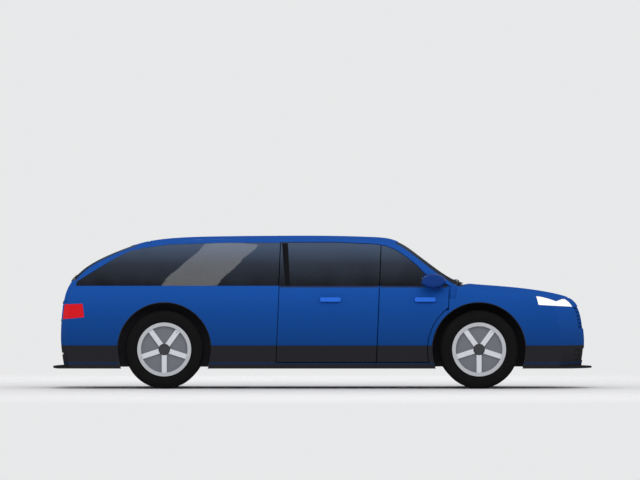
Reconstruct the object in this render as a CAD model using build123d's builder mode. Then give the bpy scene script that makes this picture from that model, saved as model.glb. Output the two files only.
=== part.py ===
"""Crossover estate car: a shell with four frameless doors, a bonnet and a tailgate, on steered wheels.

Frame: +X forward, +Y to the car's left, +Z up, in millimetres. The origin is on the ground, under the
middle of the car's length and width. Left-hand pieces are modelled and then mirrored to the right.
"""
import os
from math import cos, radians, sin, sqrt

from build123d import *

os.makedirs("parts", exist_ok=True)

# ---------------------------------------------------------------- driving dimensions
WHEELBASE = 2964.0
FRONT_AXLE_X = 1474.0
REAR_AXLE_X = FRONT_AXLE_X - WHEELBASE
TRACK = 1620.0
WHEEL_Y = TRACK / 2
TYRE_RADIUS = 370.5
TYRE_WIDTH = 235.0
AXLE_Z = TYRE_RADIUS
RIM_FLANGE_RADIUS = 253.5
ARCH_RADIUS = 446.0

HALF_WIDTH = 940.0          # widest point of the body side, without mirrors
SILL_Z = 190.0              # underside of the sills and bumpers
CLADDING_Z = 407.0          # top of the unpainted lower band
DOOR_BOTTOM_Z = 254.0
BELT_Z = 970.0              # foot of the side windows

# Thicknesses and depths below the outer surface
SKIN = 22.0                 # bonnet, wings, bumpers and the outer flange of a door
DOOR_DEPTH = 100.0          # whole door, and the body side beside it
PILLAR_DEPTH = 57.0         # pillars and rails above the belt
ROOF_DEPTH = 30.0
TAILGATE_DEPTH = 46.0
LAMP_DEPTH = 60.0
GLASS_TOP = 4.0             # glass lies this far below the paint
GLASS = 5.7                 # glass thickness
CLADDING_STEP = 6.0         # how far the lower band stands proud

# Gaps
SHUT_GAP = 9.0              # between moving panels
SEAT_GAP = 0.3              # between a fixed piece and what it is bonded or bolted to
FRAME_GAP = 6.0             # between a closed door's flange and the frame behind it
PANE_GAP = 14.0             # between a door's glass and the pillar that its front edge swings towards
BELT_GAP = 3.0              # between the top of a door and the frame above
BOX_GAP = 14.0              # round the inner box of a door
LEDGE = 22.0                # flange under the edge of a window
DOOR_LAP = 40.0             # how far a door's flange laps over its frame
HINGE_SETBACK = 35.0        # door hinge axis behind the leading edge
HINGE_Y = 930.0
PIN_GAP = 0.5
PIVOT_GAP = 0.5

# Side view of the car on its centre plane, as (x, z)
NOSE = [(2440, SILL_Z - 60), (2478, 330), (2485, 440), (2472, 590), (2450, 705), (2412, 790)]
TOP = [
    (2412, 790), (2352, 846), (2240, 886), (2040, 925), (1780, 956), (1500, 978), (1370, 992),
    (1270, 1020), (1170, 1072), (1060, 1149), (900, 1269), (760, 1366), (640, 1413), (480, 1430),
    (150, 1440), (-400, 1442), (-1000, 1436), (-1400, 1421), (-1700, 1379), (-1960, 1292),
    (-2150, 1204), (-2290, 1110), (-2390, 995), (-2440, 890),
]
TAIL = [(-2440, 890), (-2466, 770), (-2482, 600), (-2484, 430), (-2470, 300), (-2440, SILL_Z - 60)]
FRONT_PULL = 0.105          # how much the nose curves back towards the sides
SCREEN_PULL = 0.025         # the same at the windscreen, which starts at SCREEN_Z
SCREEN_Z = (930.0, 1072.0)
REAR_PULL = 0.032           # the same at the tail
CROWN = 0.048               # how much every height falls towards the sides
RAIL_RADIUS = 55.0
BUTTOCKS = (-1000, -540, -270, 0, 270, 540, 1000)     # the form runs straight between these lines

# Half widths of the body at each height: amidships, less at the nose and at the tail
CLADDING_LEVELS = [(SILL_Z - 90, 918), (CLADDING_Z, 938 + CLADDING_STEP)]
SIDE_LEVELS = [(CLADDING_Z - 20, 938), (760, 938), (850, 926), (BELT_Z, 880)]
WINDOW_LEVELS = [(BELT_Z - 40, 886), (1240, 742), (1520, 570)]

# Shut lines on the side: they lean forward by SEAM_RAKE for each mm of height
SEAM_RAKE = 0.0413
FRONT_DOOR_FRONT = 1190.0   # where each line meets the belt
MID_SEAM = 537.0
REAR_SEAM = -413.0
ARCH_MARGIN = 45.0          # between the wheel arch and the front door's edge

# The side windows as one outline, clockwise from the toe behind the mirror
WINDOW = [
    (1186, BELT_Z), (1164, 984), (1060, 1024), (964, 1082), (888, 1161), (793, 1237), (698, 1303),
    (603, 1341), (508, 1359), (128, 1377), (-917, 1377), (-1164, 1369), (-1449, 1360), (-1677, 1328),
    (-1819, 1297), (-1952, 1233), (-2152, 1112), (-2247, 1053), (-2316, 1010), (-2322, BELT_Z),
]

HEADLAMP = [(2013, 870), (2390, 848), (2390, 769), (2035, 791)]
HEADLAMP_INNER_Y = 430.0
TAIL_LAMP = [(-2500, 792), (-2260, 801), (-2245, 674), (-2500, 650)]
TAIL_LAMP_INNER_Y = 520.0

# Where the bonnet, windscreen, roof and tailgate begin and end on the centre plane
BONNET_FRONT_X = 2330.0
BONNET_REAR_X = 1400.0
BONNET_SIDE = [(1100, 800), (1800, 800), (2150, 740), (2500, 530)]     # half outline from above
BONNET_GAP = 6.0
SCREEN_FOOT_X = 1334.0
SCREEN_HEAD_X = 716.0
TAILGATE_FRONT_X = -1652.0
TAILGATE_GAP = 12.0
ROOF_REAR_X = TAILGATE_FRONT_X + TAILGATE_GAP
TAILGATE_OUTLINE = [(560, 1450), (560, 1370), (628, 1010), (628, 830), (508, 815), (508, 650)]
REAR_WINDOW = [(500, 1345), (574, 1020)]
SCREEN_MARGIN = 40.0        # paint left outside the windscreen's side edges
REAR_BUMPER_TOP = 640.0
REAR_BUMPER_FRONT_X = -1960.0
BLADE_ROOT_X = 2400.0       # a thin blade runs along the foot of each bumper
BLADE_EDGE_X = 2556.0
BLADE = 16.0
FRONT_BUMPER_EDGE = [(1960, 100), (1960, 460), (2013, 800), (2240, 850), (2600, 850), (2600, 100)]

# Floor and bulkhead
FLOOR_Z = 215.0
FLOOR = 25.0
BULKHEAD_X = 1080.0
LOAD_FLOOR_Z = 560.0
KICK_UP_X = -980.0
TUNNEL_HALF_WIDTH = 130.0
TUNNEL_TOP_Z = 345.0
HOUSE = 12.0                # wall of a wheelhouse
FRONT_HOUSE_Y = 470.0
REAR_HOUSE_Y = 640.0

# Suspension
KINGPIN_Y = 745.0
LOWER_BALL_Z = 250.0
UPPER_BALL_Z = 500.0
SPINDLE_RADIUS = 30.0
SPINDLE_END_Y = WHEEL_Y + 48
BALL_PIN_RADIUS = 12.0


def box(x, y, z):
    """A block between two values on each axis."""
    with BuildPart() as block:
        with Locations(((x[0] + x[1]) / 2, (y[0] + y[1]) / 2, (z[0] + z[1]) / 2)):
            Box(abs(x[1] - x[0]), abs(y[1] - y[0]), abs(z[1] - z[0]))
    return block.part


def side_prism(outline, y_low, y_high, grow=0.0):
    """A side-view outline, grown by some distance, carried from y_low to y_high."""
    with BuildPart() as prism:
        with BuildSketch(Plane.XZ.offset(-y_high)):
            with BuildLine():
                Polyline(*outline, close=True)
            make_face()
            if grow:
                offset(amount=grow, kind=Kind.INTERSECTION)
        extrude(amount=y_high - y_low)
    return prism.part


def end_prism(half_outline, x_low, x_high, grow=0.0):
    """A half outline (y, z), mirrored to the other side and carried from x_low to x_high."""
    outline = half_outline + [(-y, z) for y, z in reversed(half_outline)]
    with BuildPart() as prism:
        with BuildSketch(Plane.YZ.offset(x_low)):
            with BuildLine():
                Polyline(*outline, close=True)
            make_face()
            if grow:
                offset(amount=grow, kind=Kind.INTERSECTION)
        extrude(amount=x_high - x_low)
    return prism.part


def pulled_back(x, y):
    """Where a line across the car that crosses the centre plane at x lies at y."""
    return x * (1 - (FRONT_PULL if x > 0 else REAR_PULL) * (y / HALF_WIDTH) ** 2)


def cross_band(x_rear, x_front, half=1000.0, z=(100.0, 1600.0)):
    """Everything between two lines across the car, bowed like the nose or the tail."""
    with BuildPart() as band:
        with BuildSketch(Plane.XY.offset(z[0])):
            with BuildLine():
                ends = []
                for x in (x_rear, x_front):
                    side = pulled_back(x, half)
                    ThreePointArc((side, -half), (x, 0), (side, half))
                    ends.append(side)
                Line((ends[0], -half), (ends[1], -half))
                Line((ends[0], half), (ends[1], half))
            make_face()
        extrude(amount=z[1] - z[0])
    return band.part


def arch_cylinder(axle_x, radius, y_low, y_high):
    """A wheel arch's round space, across from y_low to y_high."""
    with BuildPart() as cylinder:
        with BuildSketch(Plane.XZ.offset(-y_high)):
            with Locations((axle_x, AXLE_Z)):
                Circle(radius)
        extrude(amount=y_high - y_low)
    return cylinder.part


def mirrored(part):
    """The same piece on the car's right side."""
    with BuildPart() as other:
        mirror(part, about=Plane.XZ)
    return other.part


def cut(part, *tools):
    """The part without the tools."""
    with BuildPart() as result:
        add(part)
        for tool in tools:
            add(tool, mode=Mode.SUBTRACT)
    return result.part


def common(part, *tools):
    """What the part and all the tools share."""
    with BuildPart() as result:
        add(part)
        for tool in tools:
            add(tool, mode=Mode.INTERSECT)
    return result.part


def faceted(sections):
    """A solid with flat facets between stacked outlines, which have the same shape at different scales."""
    rings = [[Vector(*point) for point in section] for section in sections]
    faces = [Face(Wire.make_polygon(rings[0])), Face(Wire.make_polygon(rings[-1]))]
    for low, high in zip(rings, rings[1:]):
        for i in range(len(low)):
            faces.append(Face(Wire.make_polygon([low[i - 1], low[i], high[i], high[i - 1]])))
    return Solid(Shell(faces))


def joined(*parts):
    """Several pieces as one."""
    with BuildPart() as result:
        for part in parts:
            add(part)
    return result.part


# ---------------------------------------------------------------- outer form
def outward_normals(points):
    """Unit normals, pointing out of the car, at each point of a side view that runs nose, top, tail."""
    normals = []
    last = len(points) - 1
    for i in range(len(points)):
        (x0, z0), (x1, z1) = points[max(i - 1, 0)], points[min(i + 1, last)]
        length = sqrt((x1 - x0) ** 2 + (z1 - z0) ** 2)
        normals.append(((z1 - z0) / length, -(x1 - x0) / length))
    return normals


def inset_side_view(depth):
    """NOSE, TOP and TAIL moved inwards by depth."""
    chain = NOSE + TOP[1:] + TAIL[1:]
    moved = [(x - depth * nx, z - depth * nz) for (x, z), (nx, nz) in zip(chain, outward_normals(chain))]
    nose_end, top_end = len(NOSE), len(NOSE) + len(TOP) - 1
    return moved[:nose_end], moved[nose_end - 1 : top_end], moved[top_end - 1 :]


def at_buttock(points, y):
    """A centre-plane outline carried out to y: shorter towards the nose and tail, and lower."""
    bow = (y / HALF_WIDTH) ** 2
    carried = []
    for x, z in points:
        share = min(max((z - SCREEN_Z[0]) / (SCREEN_Z[1] - SCREEN_Z[0]), 0), 1)
        pull = FRONT_PULL + (SCREEN_PULL - FRONT_PULL) * share if x > 0 else REAR_PULL
        carried.append((x * (1 - pull * bow), z - (z - SILL_Z) * CROWN * bow))
    return carried


def lengthwise_form(depth):
    """The car's side view carried across its width, moved inwards by depth."""
    views = inset_side_view(depth)
    with BuildPart() as form:
        for y in BUTTOCKS:
            with BuildSketch(Plane.XZ.offset(-y)):
                with BuildLine():
                    nose, top, tail = [at_buttock(points, y) for points in views]
                    Spline(*nose)
                    Spline(*top)
                    Spline(*tail)
                    Line(tail[-1], nose[0])
                make_face()
        loft(ruled=True)
    return form.part


def plan_outline(z, half):
    """The outline of the body at one height, half wide amidships and bowed in at both ends."""
    nose, tail = half - 90, half - 70
    points = [
        (-2700, tail - 45), (-2300, tail + 28), (-1500, half - 12), (0, half), (1400, half - 9),
        (2150, nose + 40), (2700, nose - 60),
    ]
    with BuildSketch(Plane.XY.offset(z)) as outline:
        with BuildLine():
            left = Spline(*points)
            right = Spline(*[(x, -y) for x, y in points])
            Line(left @ 0, right @ 0)
            Line(left @ 1, right @ 1)
        make_face()
    return outline.sketch


def window_form(depth):
    """The leaning window sides, moved inwards by depth."""
    with BuildPart() as form:
        loft([plan_outline(z, half - depth) for z, half in WINDOW_LEVELS])
    return form.part


def crosswise_form(side_depth, window_depth):
    """The body sides and the window sides, moved inwards by these depths."""
    with BuildPart() as form:
        loft([plan_outline(z, half - side_depth) for z, half in CLADDING_LEVELS], ruled=True)
        loft([plan_outline(z, half - side_depth) for z, half in SIDE_LEVELS], ruled=True)
        add(window_form(window_depth))
    return form.part


def blade(end):
    """The blade under the front bumper (end 1) or the rear bumper (end -1)."""
    with BuildPart() as strip:
        loft([plan_outline(z, half) for z, half in CLADDING_LEVELS], ruled=True)
        ends = sorted((end * BLADE_ROOT_X, end * BLADE_EDGE_X))
        add(cross_band(*ends, z=(SILL_Z, SILL_Z + BLADE)), mode=Mode.INTERSECT)
    return strip.part


with BuildPart() as outer_form:
    add(lengthwise_form(0))
    add(crosswise_form(0, 0), mode=Mode.INTERSECT)
    rails = [
        e for e in outer_form.edges()
        if e.length > 1500 and e.bounding_box().max.Z > 1330 and abs(e.center().Y) > BUTTOCKS[-2] + 10
    ]
    fillet(rails, RAIL_RADIUS)
    split(bisect_by=Plane.XY.offset(SILL_Z), keep=Keep.TOP)
BODY = outer_form.part
ARCHES = joined(
    arch_cylinder(FRONT_AXLE_X, ARCH_RADIUS, -1100, 1100),
    arch_cylinder(REAR_AXLE_X, ARCH_RADIUS, -1100, 1100),
)

LENGTH_22 = lengthwise_form(SKIN)
LENGTH_46 = lengthwise_form(TAILGATE_DEPTH)
SIDE_22 = crosswise_form(SKIN, SKIN)
INNER = crosswise_form(DOOR_DEPTH, PILLAR_DEPTH)
CABIN = crosswise_form(DOOR_DEPTH + SEAT_GAP, PILLAR_DEPTH + SEAT_GAP)
UNDER_GLASS = GLASS_TOP + GLASS + SEAT_GAP


def seam_x(belt_x, z):
    return belt_x + SEAM_RAKE * (z - BELT_Z)


# ---------------------------------------------------------------- doors and side windows
DOOR_TOP = BELT_Z + 80      # door outlines run past the belt and are cut there


def front_door_outline():
    """Round the wheel arch, up the leading edge and down the middle seam."""
    radius = ARCH_RADIUS + ARCH_MARGIN
    corner_x = seam_x(FRONT_DOOR_FRONT, 765)
    corner = (corner_x, AXLE_Z + sqrt(radius**2 - (FRONT_AXLE_X - corner_x) ** 2))
    foot = (FRONT_AXLE_X - sqrt(radius**2 - (AXLE_Z - DOOR_BOTTOM_Z) ** 2), DOOR_BOTTOM_Z)
    middle = (FRONT_AXLE_X - radius * cos(radians(20)), AXLE_Z + radius * sin(radians(20)))
    rear = MID_SEAM + SHUT_GAP / 2
    with BuildLine() as outline:
        ThreePointArc(foot, middle, corner)
        Polyline(
            corner, (seam_x(FRONT_DOOR_FRONT, DOOR_TOP), DOOR_TOP), (seam_x(rear, DOOR_TOP), DOOR_TOP),
            (seam_x(rear, DOOR_BOTTOM_Z), DOOR_BOTTOM_Z), foot,
        )
    return outline.line


def rear_door_outline():
    """Between the middle seam and the rear seam."""
    front, rear = MID_SEAM - SHUT_GAP / 2, REAR_SEAM + SHUT_GAP
    with BuildLine() as outline:
        Polyline(
            (seam_x(front, DOOR_TOP), DOOR_TOP), (seam_x(rear, DOOR_TOP), DOOR_TOP),
            (seam_x(rear, DOOR_BOTTOM_Z), DOOR_BOTTOM_Z), (seam_x(front, DOOR_BOTTOM_Z), DOOR_BOTTOM_Z),
            close=True,
        )
    return outline.line


def door_prism(outline, grow=0.0, top=BELT_Z):
    """A door's outline across the left body side, grown by some distance and cut at the belt."""
    with BuildPart() as prism:
        with BuildSketch(Plane.XZ.offset(-1100)):
            with BuildLine():
                add(outline)
            make_face()
            if grow:
                offset(amount=grow, kind=Kind.INTERSECTION)
        extrude(amount=700)
        split(bisect_by=Plane.XY.offset(top), keep=Keep.BOTTOM)
    return prism.part


def window_prism(rear_x, front_x, grow=0.0, foot=0.0):
    """The side windows between two seams, grown by some distance; foot reaches down into the door."""
    low, high = BELT_Z - 60, 1500.0
    band = [(seam_x(x, z), z) for x, z in ((rear_x, low), (front_x, low), (front_x, high), (rear_x, high))]
    with BuildPart() as prism:
        with BuildSketch(Plane.XZ.offset(-1100)):
            with BuildLine():
                Polyline(*WINDOW, close=True)
            make_face()
            if grow:
                offset(amount=grow, kind=Kind.INTERSECTION)
            if foot:
                with BuildLine():
                    Polyline(*[(x, z) for x, z in (
                        (WINDOW[-1][0], BELT_Z + 1), (WINDOW[0][0] - 40, BELT_Z + 1),
                        (WINDOW[0][0] - 40, BELT_Z - foot), (WINDOW[-1][0], BELT_Z - foot),
                    )], close=True)
                make_face()
            with BuildLine():
                Polyline(*band, close=True)
            make_face(mode=Mode.INTERSECT)
        extrude(amount=700)
    return prism.part


def hinge_pocket(front_x, foot_z):
    """Room in the pillar for the door's leading edge, which swings inwards about the hinge."""
    axis = Plane(origin=(front_x - HINGE_SETBACK, HINGE_Y, BELT_Z), x_dir=(0, 1, 0), z_dir=(SEAM_RAKE, 0, 1))
    narrow, wide, cone = HINGE_SETBACK + 16, HINGE_SETBACK + 54, 170.0
    with BuildPart() as pocket:
        with Locations(axis.offset(foot_z - BELT_Z)):
            Cylinder(narrow, BELT_Z - cone - foot_z, align=(Align.CENTER, Align.CENTER, Align.MIN))
        with Locations(axis.offset(-cone)):
            Cone(narrow, wide, cone, align=(Align.CENTER, Align.CENTER, Align.MIN))
    return pocket.part


GLASS_FOOT = 24.0           # how far a door's glass reaches below the belt
GLASS_SLOT = cut(window_form(GLASS_TOP - SEAT_GAP), window_form(UNDER_GLASS))
SIDE_GLASS = cut(window_form(GLASS_TOP), window_form(GLASS_TOP + GLASS))
FRONT_PANE = (MID_SEAM + SHUT_GAP / 2, WINDOW[0][0] + 60)
REAR_PANE = (REAR_SEAM + SHUT_GAP / 2, MID_SEAM - SHUT_GAP / 2)
QUARTER_PANE = (-2400.0, REAR_SEAM - SHUT_GAP / 2)


def door_panel(outline, pane):
    """A door below the belt: a flange that laps over its frame, a deep inner box and a slot for the glass."""
    flange = cut(common(BODY, door_prism(outline, top=BELT_Z - BELT_GAP)), SIDE_22)
    inner_box = cut(common(BODY, door_prism(outline, -DOOR_LAP, BELT_Z - BOX_GAP)), INNER)
    slot = common(GLASS_SLOT, window_prism(*pane, grow=SEAT_GAP, foot=GLASS_FOOT + SEAT_GAP))
    return cut(joined(flange, inner_box), slot)


FRONT_DOOR = front_door_outline()
REAR_DOOR = rear_door_outline()

with BuildPart() as door_front_left:
    add(door_panel(FRONT_DOOR, FRONT_PANE))
with BuildPart() as door_rear_left:
    add(door_panel(REAR_DOOR, REAR_PANE))
with BuildPart() as glass_front_left:
    add(common(SIDE_GLASS, window_prism(*FRONT_PANE, foot=GLASS_FOOT)))
with BuildPart() as glass_rear_left:
    add(common(SIDE_GLASS, window_prism(*REAR_PANE, foot=GLASS_FOOT)))
with BuildPart() as quarter_left:
    add(common(SIDE_GLASS, window_prism(*QUARTER_PANE), box((-2600, 2000), (0, 1000), (BELT_Z, 1500))))

# ---------------------------------------------------------------- bonnet, lamps and front panels
def bonnet_prism(grow=0.0):
    """The bonnet from above, grown by some distance."""
    with BuildPart() as prism:
        with BuildSketch(Plane.XY.offset(600)):
            with BuildLine():
                Polyline(*BONNET_SIDE, *[(x, -y) for x, y in reversed(BONNET_SIDE)], close=True)
            make_face()
            if grow:
                offset(amount=grow, kind=Kind.INTERSECTION)
        extrude(amount=600)
        add(cross_band(BONNET_REAR_X - grow, BONNET_FRONT_X + grow), mode=Mode.INTERSECT)
    return prism.part


CORE_22 = common(LENGTH_22, SIDE_22)
LAMP_CORE = common(lengthwise_form(LAMP_DEPTH), crosswise_form(LAMP_DEPTH, LAMP_DEPTH))
BONNET_ROOM = bonnet_prism(BONNET_GAP)
HEADLAMP_ROOM = side_prism(HEADLAMP, HEADLAMP_INNER_Y - SEAT_GAP, 1100, grow=SEAT_GAP)
TAIL_LAMP_ROOM = side_prism(TAIL_LAMP, TAIL_LAMP_INNER_Y - SEAT_GAP, 1100, grow=SEAT_GAP)
BUMPER_ROOM = side_prism(FRONT_BUMPER_EDGE, -1100, 1100, grow=SEAT_GAP)

with BuildPart() as bonnet:
    add(cut(common(BODY, bonnet_prism()), LENGTH_22))

with BuildPart() as headlamp_left:
    add(cut(common(BODY, side_prism(HEADLAMP, HEADLAMP_INNER_Y, 1100)), LAMP_CORE, BONNET_ROOM))

with BuildPart() as tail_lamp_left:
    add(cut(common(BODY, side_prism(TAIL_LAMP, TAIL_LAMP_INNER_Y, 1100)), LAMP_CORE))

GRILLE = (400.0, 560.0, 770.0)      # half width, foot and head
INTAKE = (560.0, 262.0, 372.0)
with BuildPart() as front_bumper:
    add(cut(common(BODY, side_prism(FRONT_BUMPER_EDGE, -1100, 1100)), CORE_22))
    add(blade(1))
    add(BONNET_ROOM, mode=Mode.SUBTRACT)
    add(HEADLAMP_ROOM, mode=Mode.SUBTRACT)
    add(mirrored(HEADLAMP_ROOM), mode=Mode.SUBTRACT)
    add(ARCHES, mode=Mode.SUBTRACT)
    for half, low, high in (GRILLE, INTAKE):
        add(box((2200, 2600), (-half, half), (low, high)), mode=Mode.SUBTRACT)

GRILLE_SETBACK = 8.0
GRILLE_BLOCK = common(lengthwise_form(GRILLE_SETBACK), box((2200, 2600), (-700, 700), (200, 800)))
with BuildPart() as grille:
    for (half, low, high), bars in ((GRILLE, 6), (INTAKE, 3)):
        edge = SEAT_GAP
        opening = box((2200, 2600), (edge - half, half - edge), (low + edge, high - edge))
        add(cut(common(GRILLE_BLOCK, opening), LENGTH_22))
        pitch = (high - low) / bars
        for i in range(bars):
            slot = (low + pitch * (i + 0.22), low + pitch * (i + 0.78))
            for side in (-1, 1):
                add(box((2200, 2600), (side * 14, side * (half - 16)), slot), mode=Mode.SUBTRACT)

WING_EDGE = [
    (seam_x(FRONT_DOOR_FRONT + SHUT_GAP, 100), 100), (seam_x(FRONT_DOOR_FRONT + SHUT_GAP, BELT_Z), BELT_Z),
    (2200, BELT_Z), (2200, 100),
]
with BuildPart() as wing_left:
    add(cut(common(BODY, side_prism(WING_EDGE, 0, 1100)), CORE_22))
    for room in (BUMPER_ROOM, BONNET_ROOM, HEADLAMP_ROOM, ARCHES, door_prism(FRONT_DOOR, SHUT_GAP)):
        add(room, mode=Mode.SUBTRACT)
    add(cross_band(1000, BONNET_REAR_X - BONNET_GAP, z=(BELT_Z - 120, 1600)), mode=Mode.SUBTRACT)

BUFFER_X = (-2473.0, -2459.0)       # rubber buffers that the closed tailgate rests on
BUFFER_Y = 400.0
with BuildPart() as rear_bumper:
    for side in (-1, 1):
        add(box(BUFFER_X, (side * BUFFER_Y - 20, side * BUFFER_Y + 20),
                (REAR_BUMPER_TOP - 5, TAILGATE_OUTLINE[-1][1] - SEAT_GAP)))
    bumper_block = box((-2700, REAR_BUMPER_FRONT_X), (-1100, 1100), (SILL_Z, REAR_BUMPER_TOP))
    add(cut(common(BODY, bumper_block), CORE_22))
    add(blade(-1))
    add(ARCHES, mode=Mode.SUBTRACT)

# ---------------------------------------------------------------- roof and screens
LENGTH_4 = lengthwise_form(GLASS_TOP)
LENGTH_10 = lengthwise_form(UNDER_GLASS)
SCREEN_GLASS = cut(LENGTH_4, lengthwise_form(GLASS_TOP + GLASS))

with BuildPart() as windscreen:
    add(common(
        SCREEN_GLASS, crosswise_form(DOOR_DEPTH, SCREEN_MARGIN),
        cross_band(SCREEN_HEAD_X, SCREEN_FOOT_X, z=(BELT_Z - 60, 1600)),
    ))
SCREEN_ROOM = cut(
    common(
        crosswise_form(DOOR_DEPTH, SCREEN_MARGIN - SEAT_GAP),
        cross_band(SCREEN_HEAD_X - SEAT_GAP, SCREEN_FOOT_X + SEAT_GAP),
    ),
    LENGTH_10,
)

with BuildPart() as roof_panel:
    roof_block = cross_band(ROOF_REAR_X, SCREEN_HEAD_X + LEDGE)
    add(cut(common(BODY, CABIN, roof_block), lengthwise_form(ROOF_DEPTH)))
    add(SCREEN_ROOM, mode=Mode.SUBTRACT)

TAILGATE_ROOM = common(
    end_prism(TAILGATE_OUTLINE, -2700, -1400, grow=TAILGATE_GAP), cross_band(-2700, ROOF_REAR_X)
)
REAR_WINDOW_AREA = end_prism(REAR_WINDOW, -2600, -1500)
REAR_END = box((-2700, ROOF_REAR_X + 50), (-1100, 1100), (REAR_BUMPER_TOP, 1600))
REAR_SHELL = cut(common(BODY, REAR_END), LENGTH_46)
with BuildPart() as tailgate:
    add(REAR_SHELL)
    add(end_prism(TAILGATE_OUTLINE, -2700, -1400), mode=Mode.INTERSECT)
    add(cross_band(-2700, TAILGATE_FRONT_X), mode=Mode.INTERSECT)
    add(cut(end_prism(REAR_WINDOW, -2600, -1500, grow=SEAT_GAP), LENGTH_10), mode=Mode.SUBTRACT)
    add(end_prism(REAR_WINDOW, -2600, -1500, grow=-LEDGE), mode=Mode.SUBTRACT)

with BuildPart() as rear_window:
    add(common(SCREEN_GLASS, REAR_WINDOW_AREA))

# ---------------------------------------------------------------- body side
DOOR_RECESS = crosswise_form(SKIN + FRAME_GAP, SKIN + FRAME_GAP)
PANE_RECESS = window_form(GLASS_TOP + GLASS + PANE_GAP)
QUARTER_RECESS = window_form(UNDER_GLASS)
FRONT_END_X = 1290.0
POCKET_FOOT_Z = 740.0       # the front hinge pocket ends above the wheel arch
PANE_MARGIN = 30.0          # from a door glass's edge to its opening


def window_opening(rear_x, front_x):
    return window_prism(rear_x, front_x, grow=-LEDGE)


with BuildPart() as body_side_left:
    add(cut(common(BODY, box((-2700, FRONT_END_X), (0, 1100), (SILL_Z, 1600))), INNER))
    add(common(
        REAR_SHELL, cross_band(-2700, ROOF_REAR_X - SEAT_GAP),
        box((-2700, -1500), (TAILGATE_OUTLINE[-1][0], 1100), (REAR_BUMPER_TOP, 1600)),
    ))
    for room in (TAILGATE_ROOM, TAIL_LAMP_ROOM, ARCHES, SCREEN_ROOM):
        add(room, mode=Mode.SUBTRACT)
    bumper_room = box(
        (-2700, REAR_BUMPER_FRONT_X + SEAT_GAP), (0, 1100), (0, REAR_BUMPER_TOP + SEAT_GAP)
    )
    add(bumper_room, mode=Mode.SUBTRACT)
    add(cut(side_prism(WING_EDGE, 0, 1100), crosswise_form(SKIN + SEAT_GAP, SKIN)), mode=Mode.SUBTRACT)
    add(cross_band(BONNET_REAR_X - BONNET_GAP, 2000), mode=Mode.SUBTRACT)
    for outline, front_x, foot_z in (
        (FRONT_DOOR, FRONT_DOOR_FRONT, POCKET_FOOT_Z),
        (REAR_DOOR, MID_SEAM - SHUT_GAP / 2, DOOR_BOTTOM_Z - SHUT_GAP),
    ):
        add(cut(door_prism(outline, SHUT_GAP), DOOR_RECESS), mode=Mode.SUBTRACT)
        add(door_prism(outline, BOX_GAP - DOOR_LAP), mode=Mode.SUBTRACT)
        add(hinge_pocket(front_x, foot_z), mode=Mode.SUBTRACT)
    door_panes = (REAR_SEAM - SHUT_GAP / 2, WINDOW[0][0] + 60)
    add(cut(window_prism(*door_panes, grow=FRAME_GAP), PANE_RECESS), mode=Mode.SUBTRACT)
    add(cut(window_prism(*QUARTER_PANE, grow=SEAT_GAP), QUARTER_RECESS), mode=Mode.SUBTRACT)
    for opening in (
        (MID_SEAM + PANE_MARGIN, 1300), (REAR_SEAM + PANE_MARGIN, MID_SEAM - PANE_MARGIN),
        (-2400, REAR_SEAM - LEDGE),
    ):
        add(window_opening(*opening), mode=Mode.SUBTRACT)

# ---------------------------------------------------------------- floor, bulkhead and wheelhouses
FLOOR_TOP = FLOOR_Z + FLOOR
RAIL_INNER_Y = 340.0
RAIL_OUTER_Y = 395.0
RAIL_Z = (420.0, 500.0)
BEAM_X = (2270.0, 2300.0)
LOAD_FLOOR_END_X = -2400.0


def wheelhouse(axle_x, inner_y, way_radius):
    """A round liner over a wheel, whose inner wall leaves a way through for the suspension."""
    with BuildPart() as house:
        add(arch_cylinder(axle_x, ARCH_RADIUS + HOUSE, inner_y, 900))
        add(arch_cylinder(axle_x, ARCH_RADIUS, inner_y + HOUSE, 910), mode=Mode.SUBTRACT)
        add(arch_cylinder(axle_x, way_radius, inner_y - 10, 910), mode=Mode.SUBTRACT)
        split(bisect_by=Plane.XY.offset(LINER_FOOT_Z), keep=Keep.TOP)
    return house.part


LINER_FOOT_Z = 205.0
FRONT_HOUSE = wheelhouse(FRONT_AXLE_X, FRONT_HOUSE_Y, 300)
REAR_HOUSE = wheelhouse(REAR_AXLE_X, REAR_HOUSE_Y, 90)
TRAY_Z = (900.0, 925.0)

SLAM_PANEL_Y = 425.0        # the bonnet rests on this panel above the grille
SLAM_PANEL_X = (2230.0, 2290.0)
SLAM_PANEL_Z = (770.0, 900.0)
SLAM_POST_X = (2240.0, 2280.0)
SLAM_POST_Z = (RAIL_Z[0], SLAM_PANEL_Z[0] + 30)
UNDER_BONNET = lengthwise_form(SKIN + SEAT_GAP)

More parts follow.
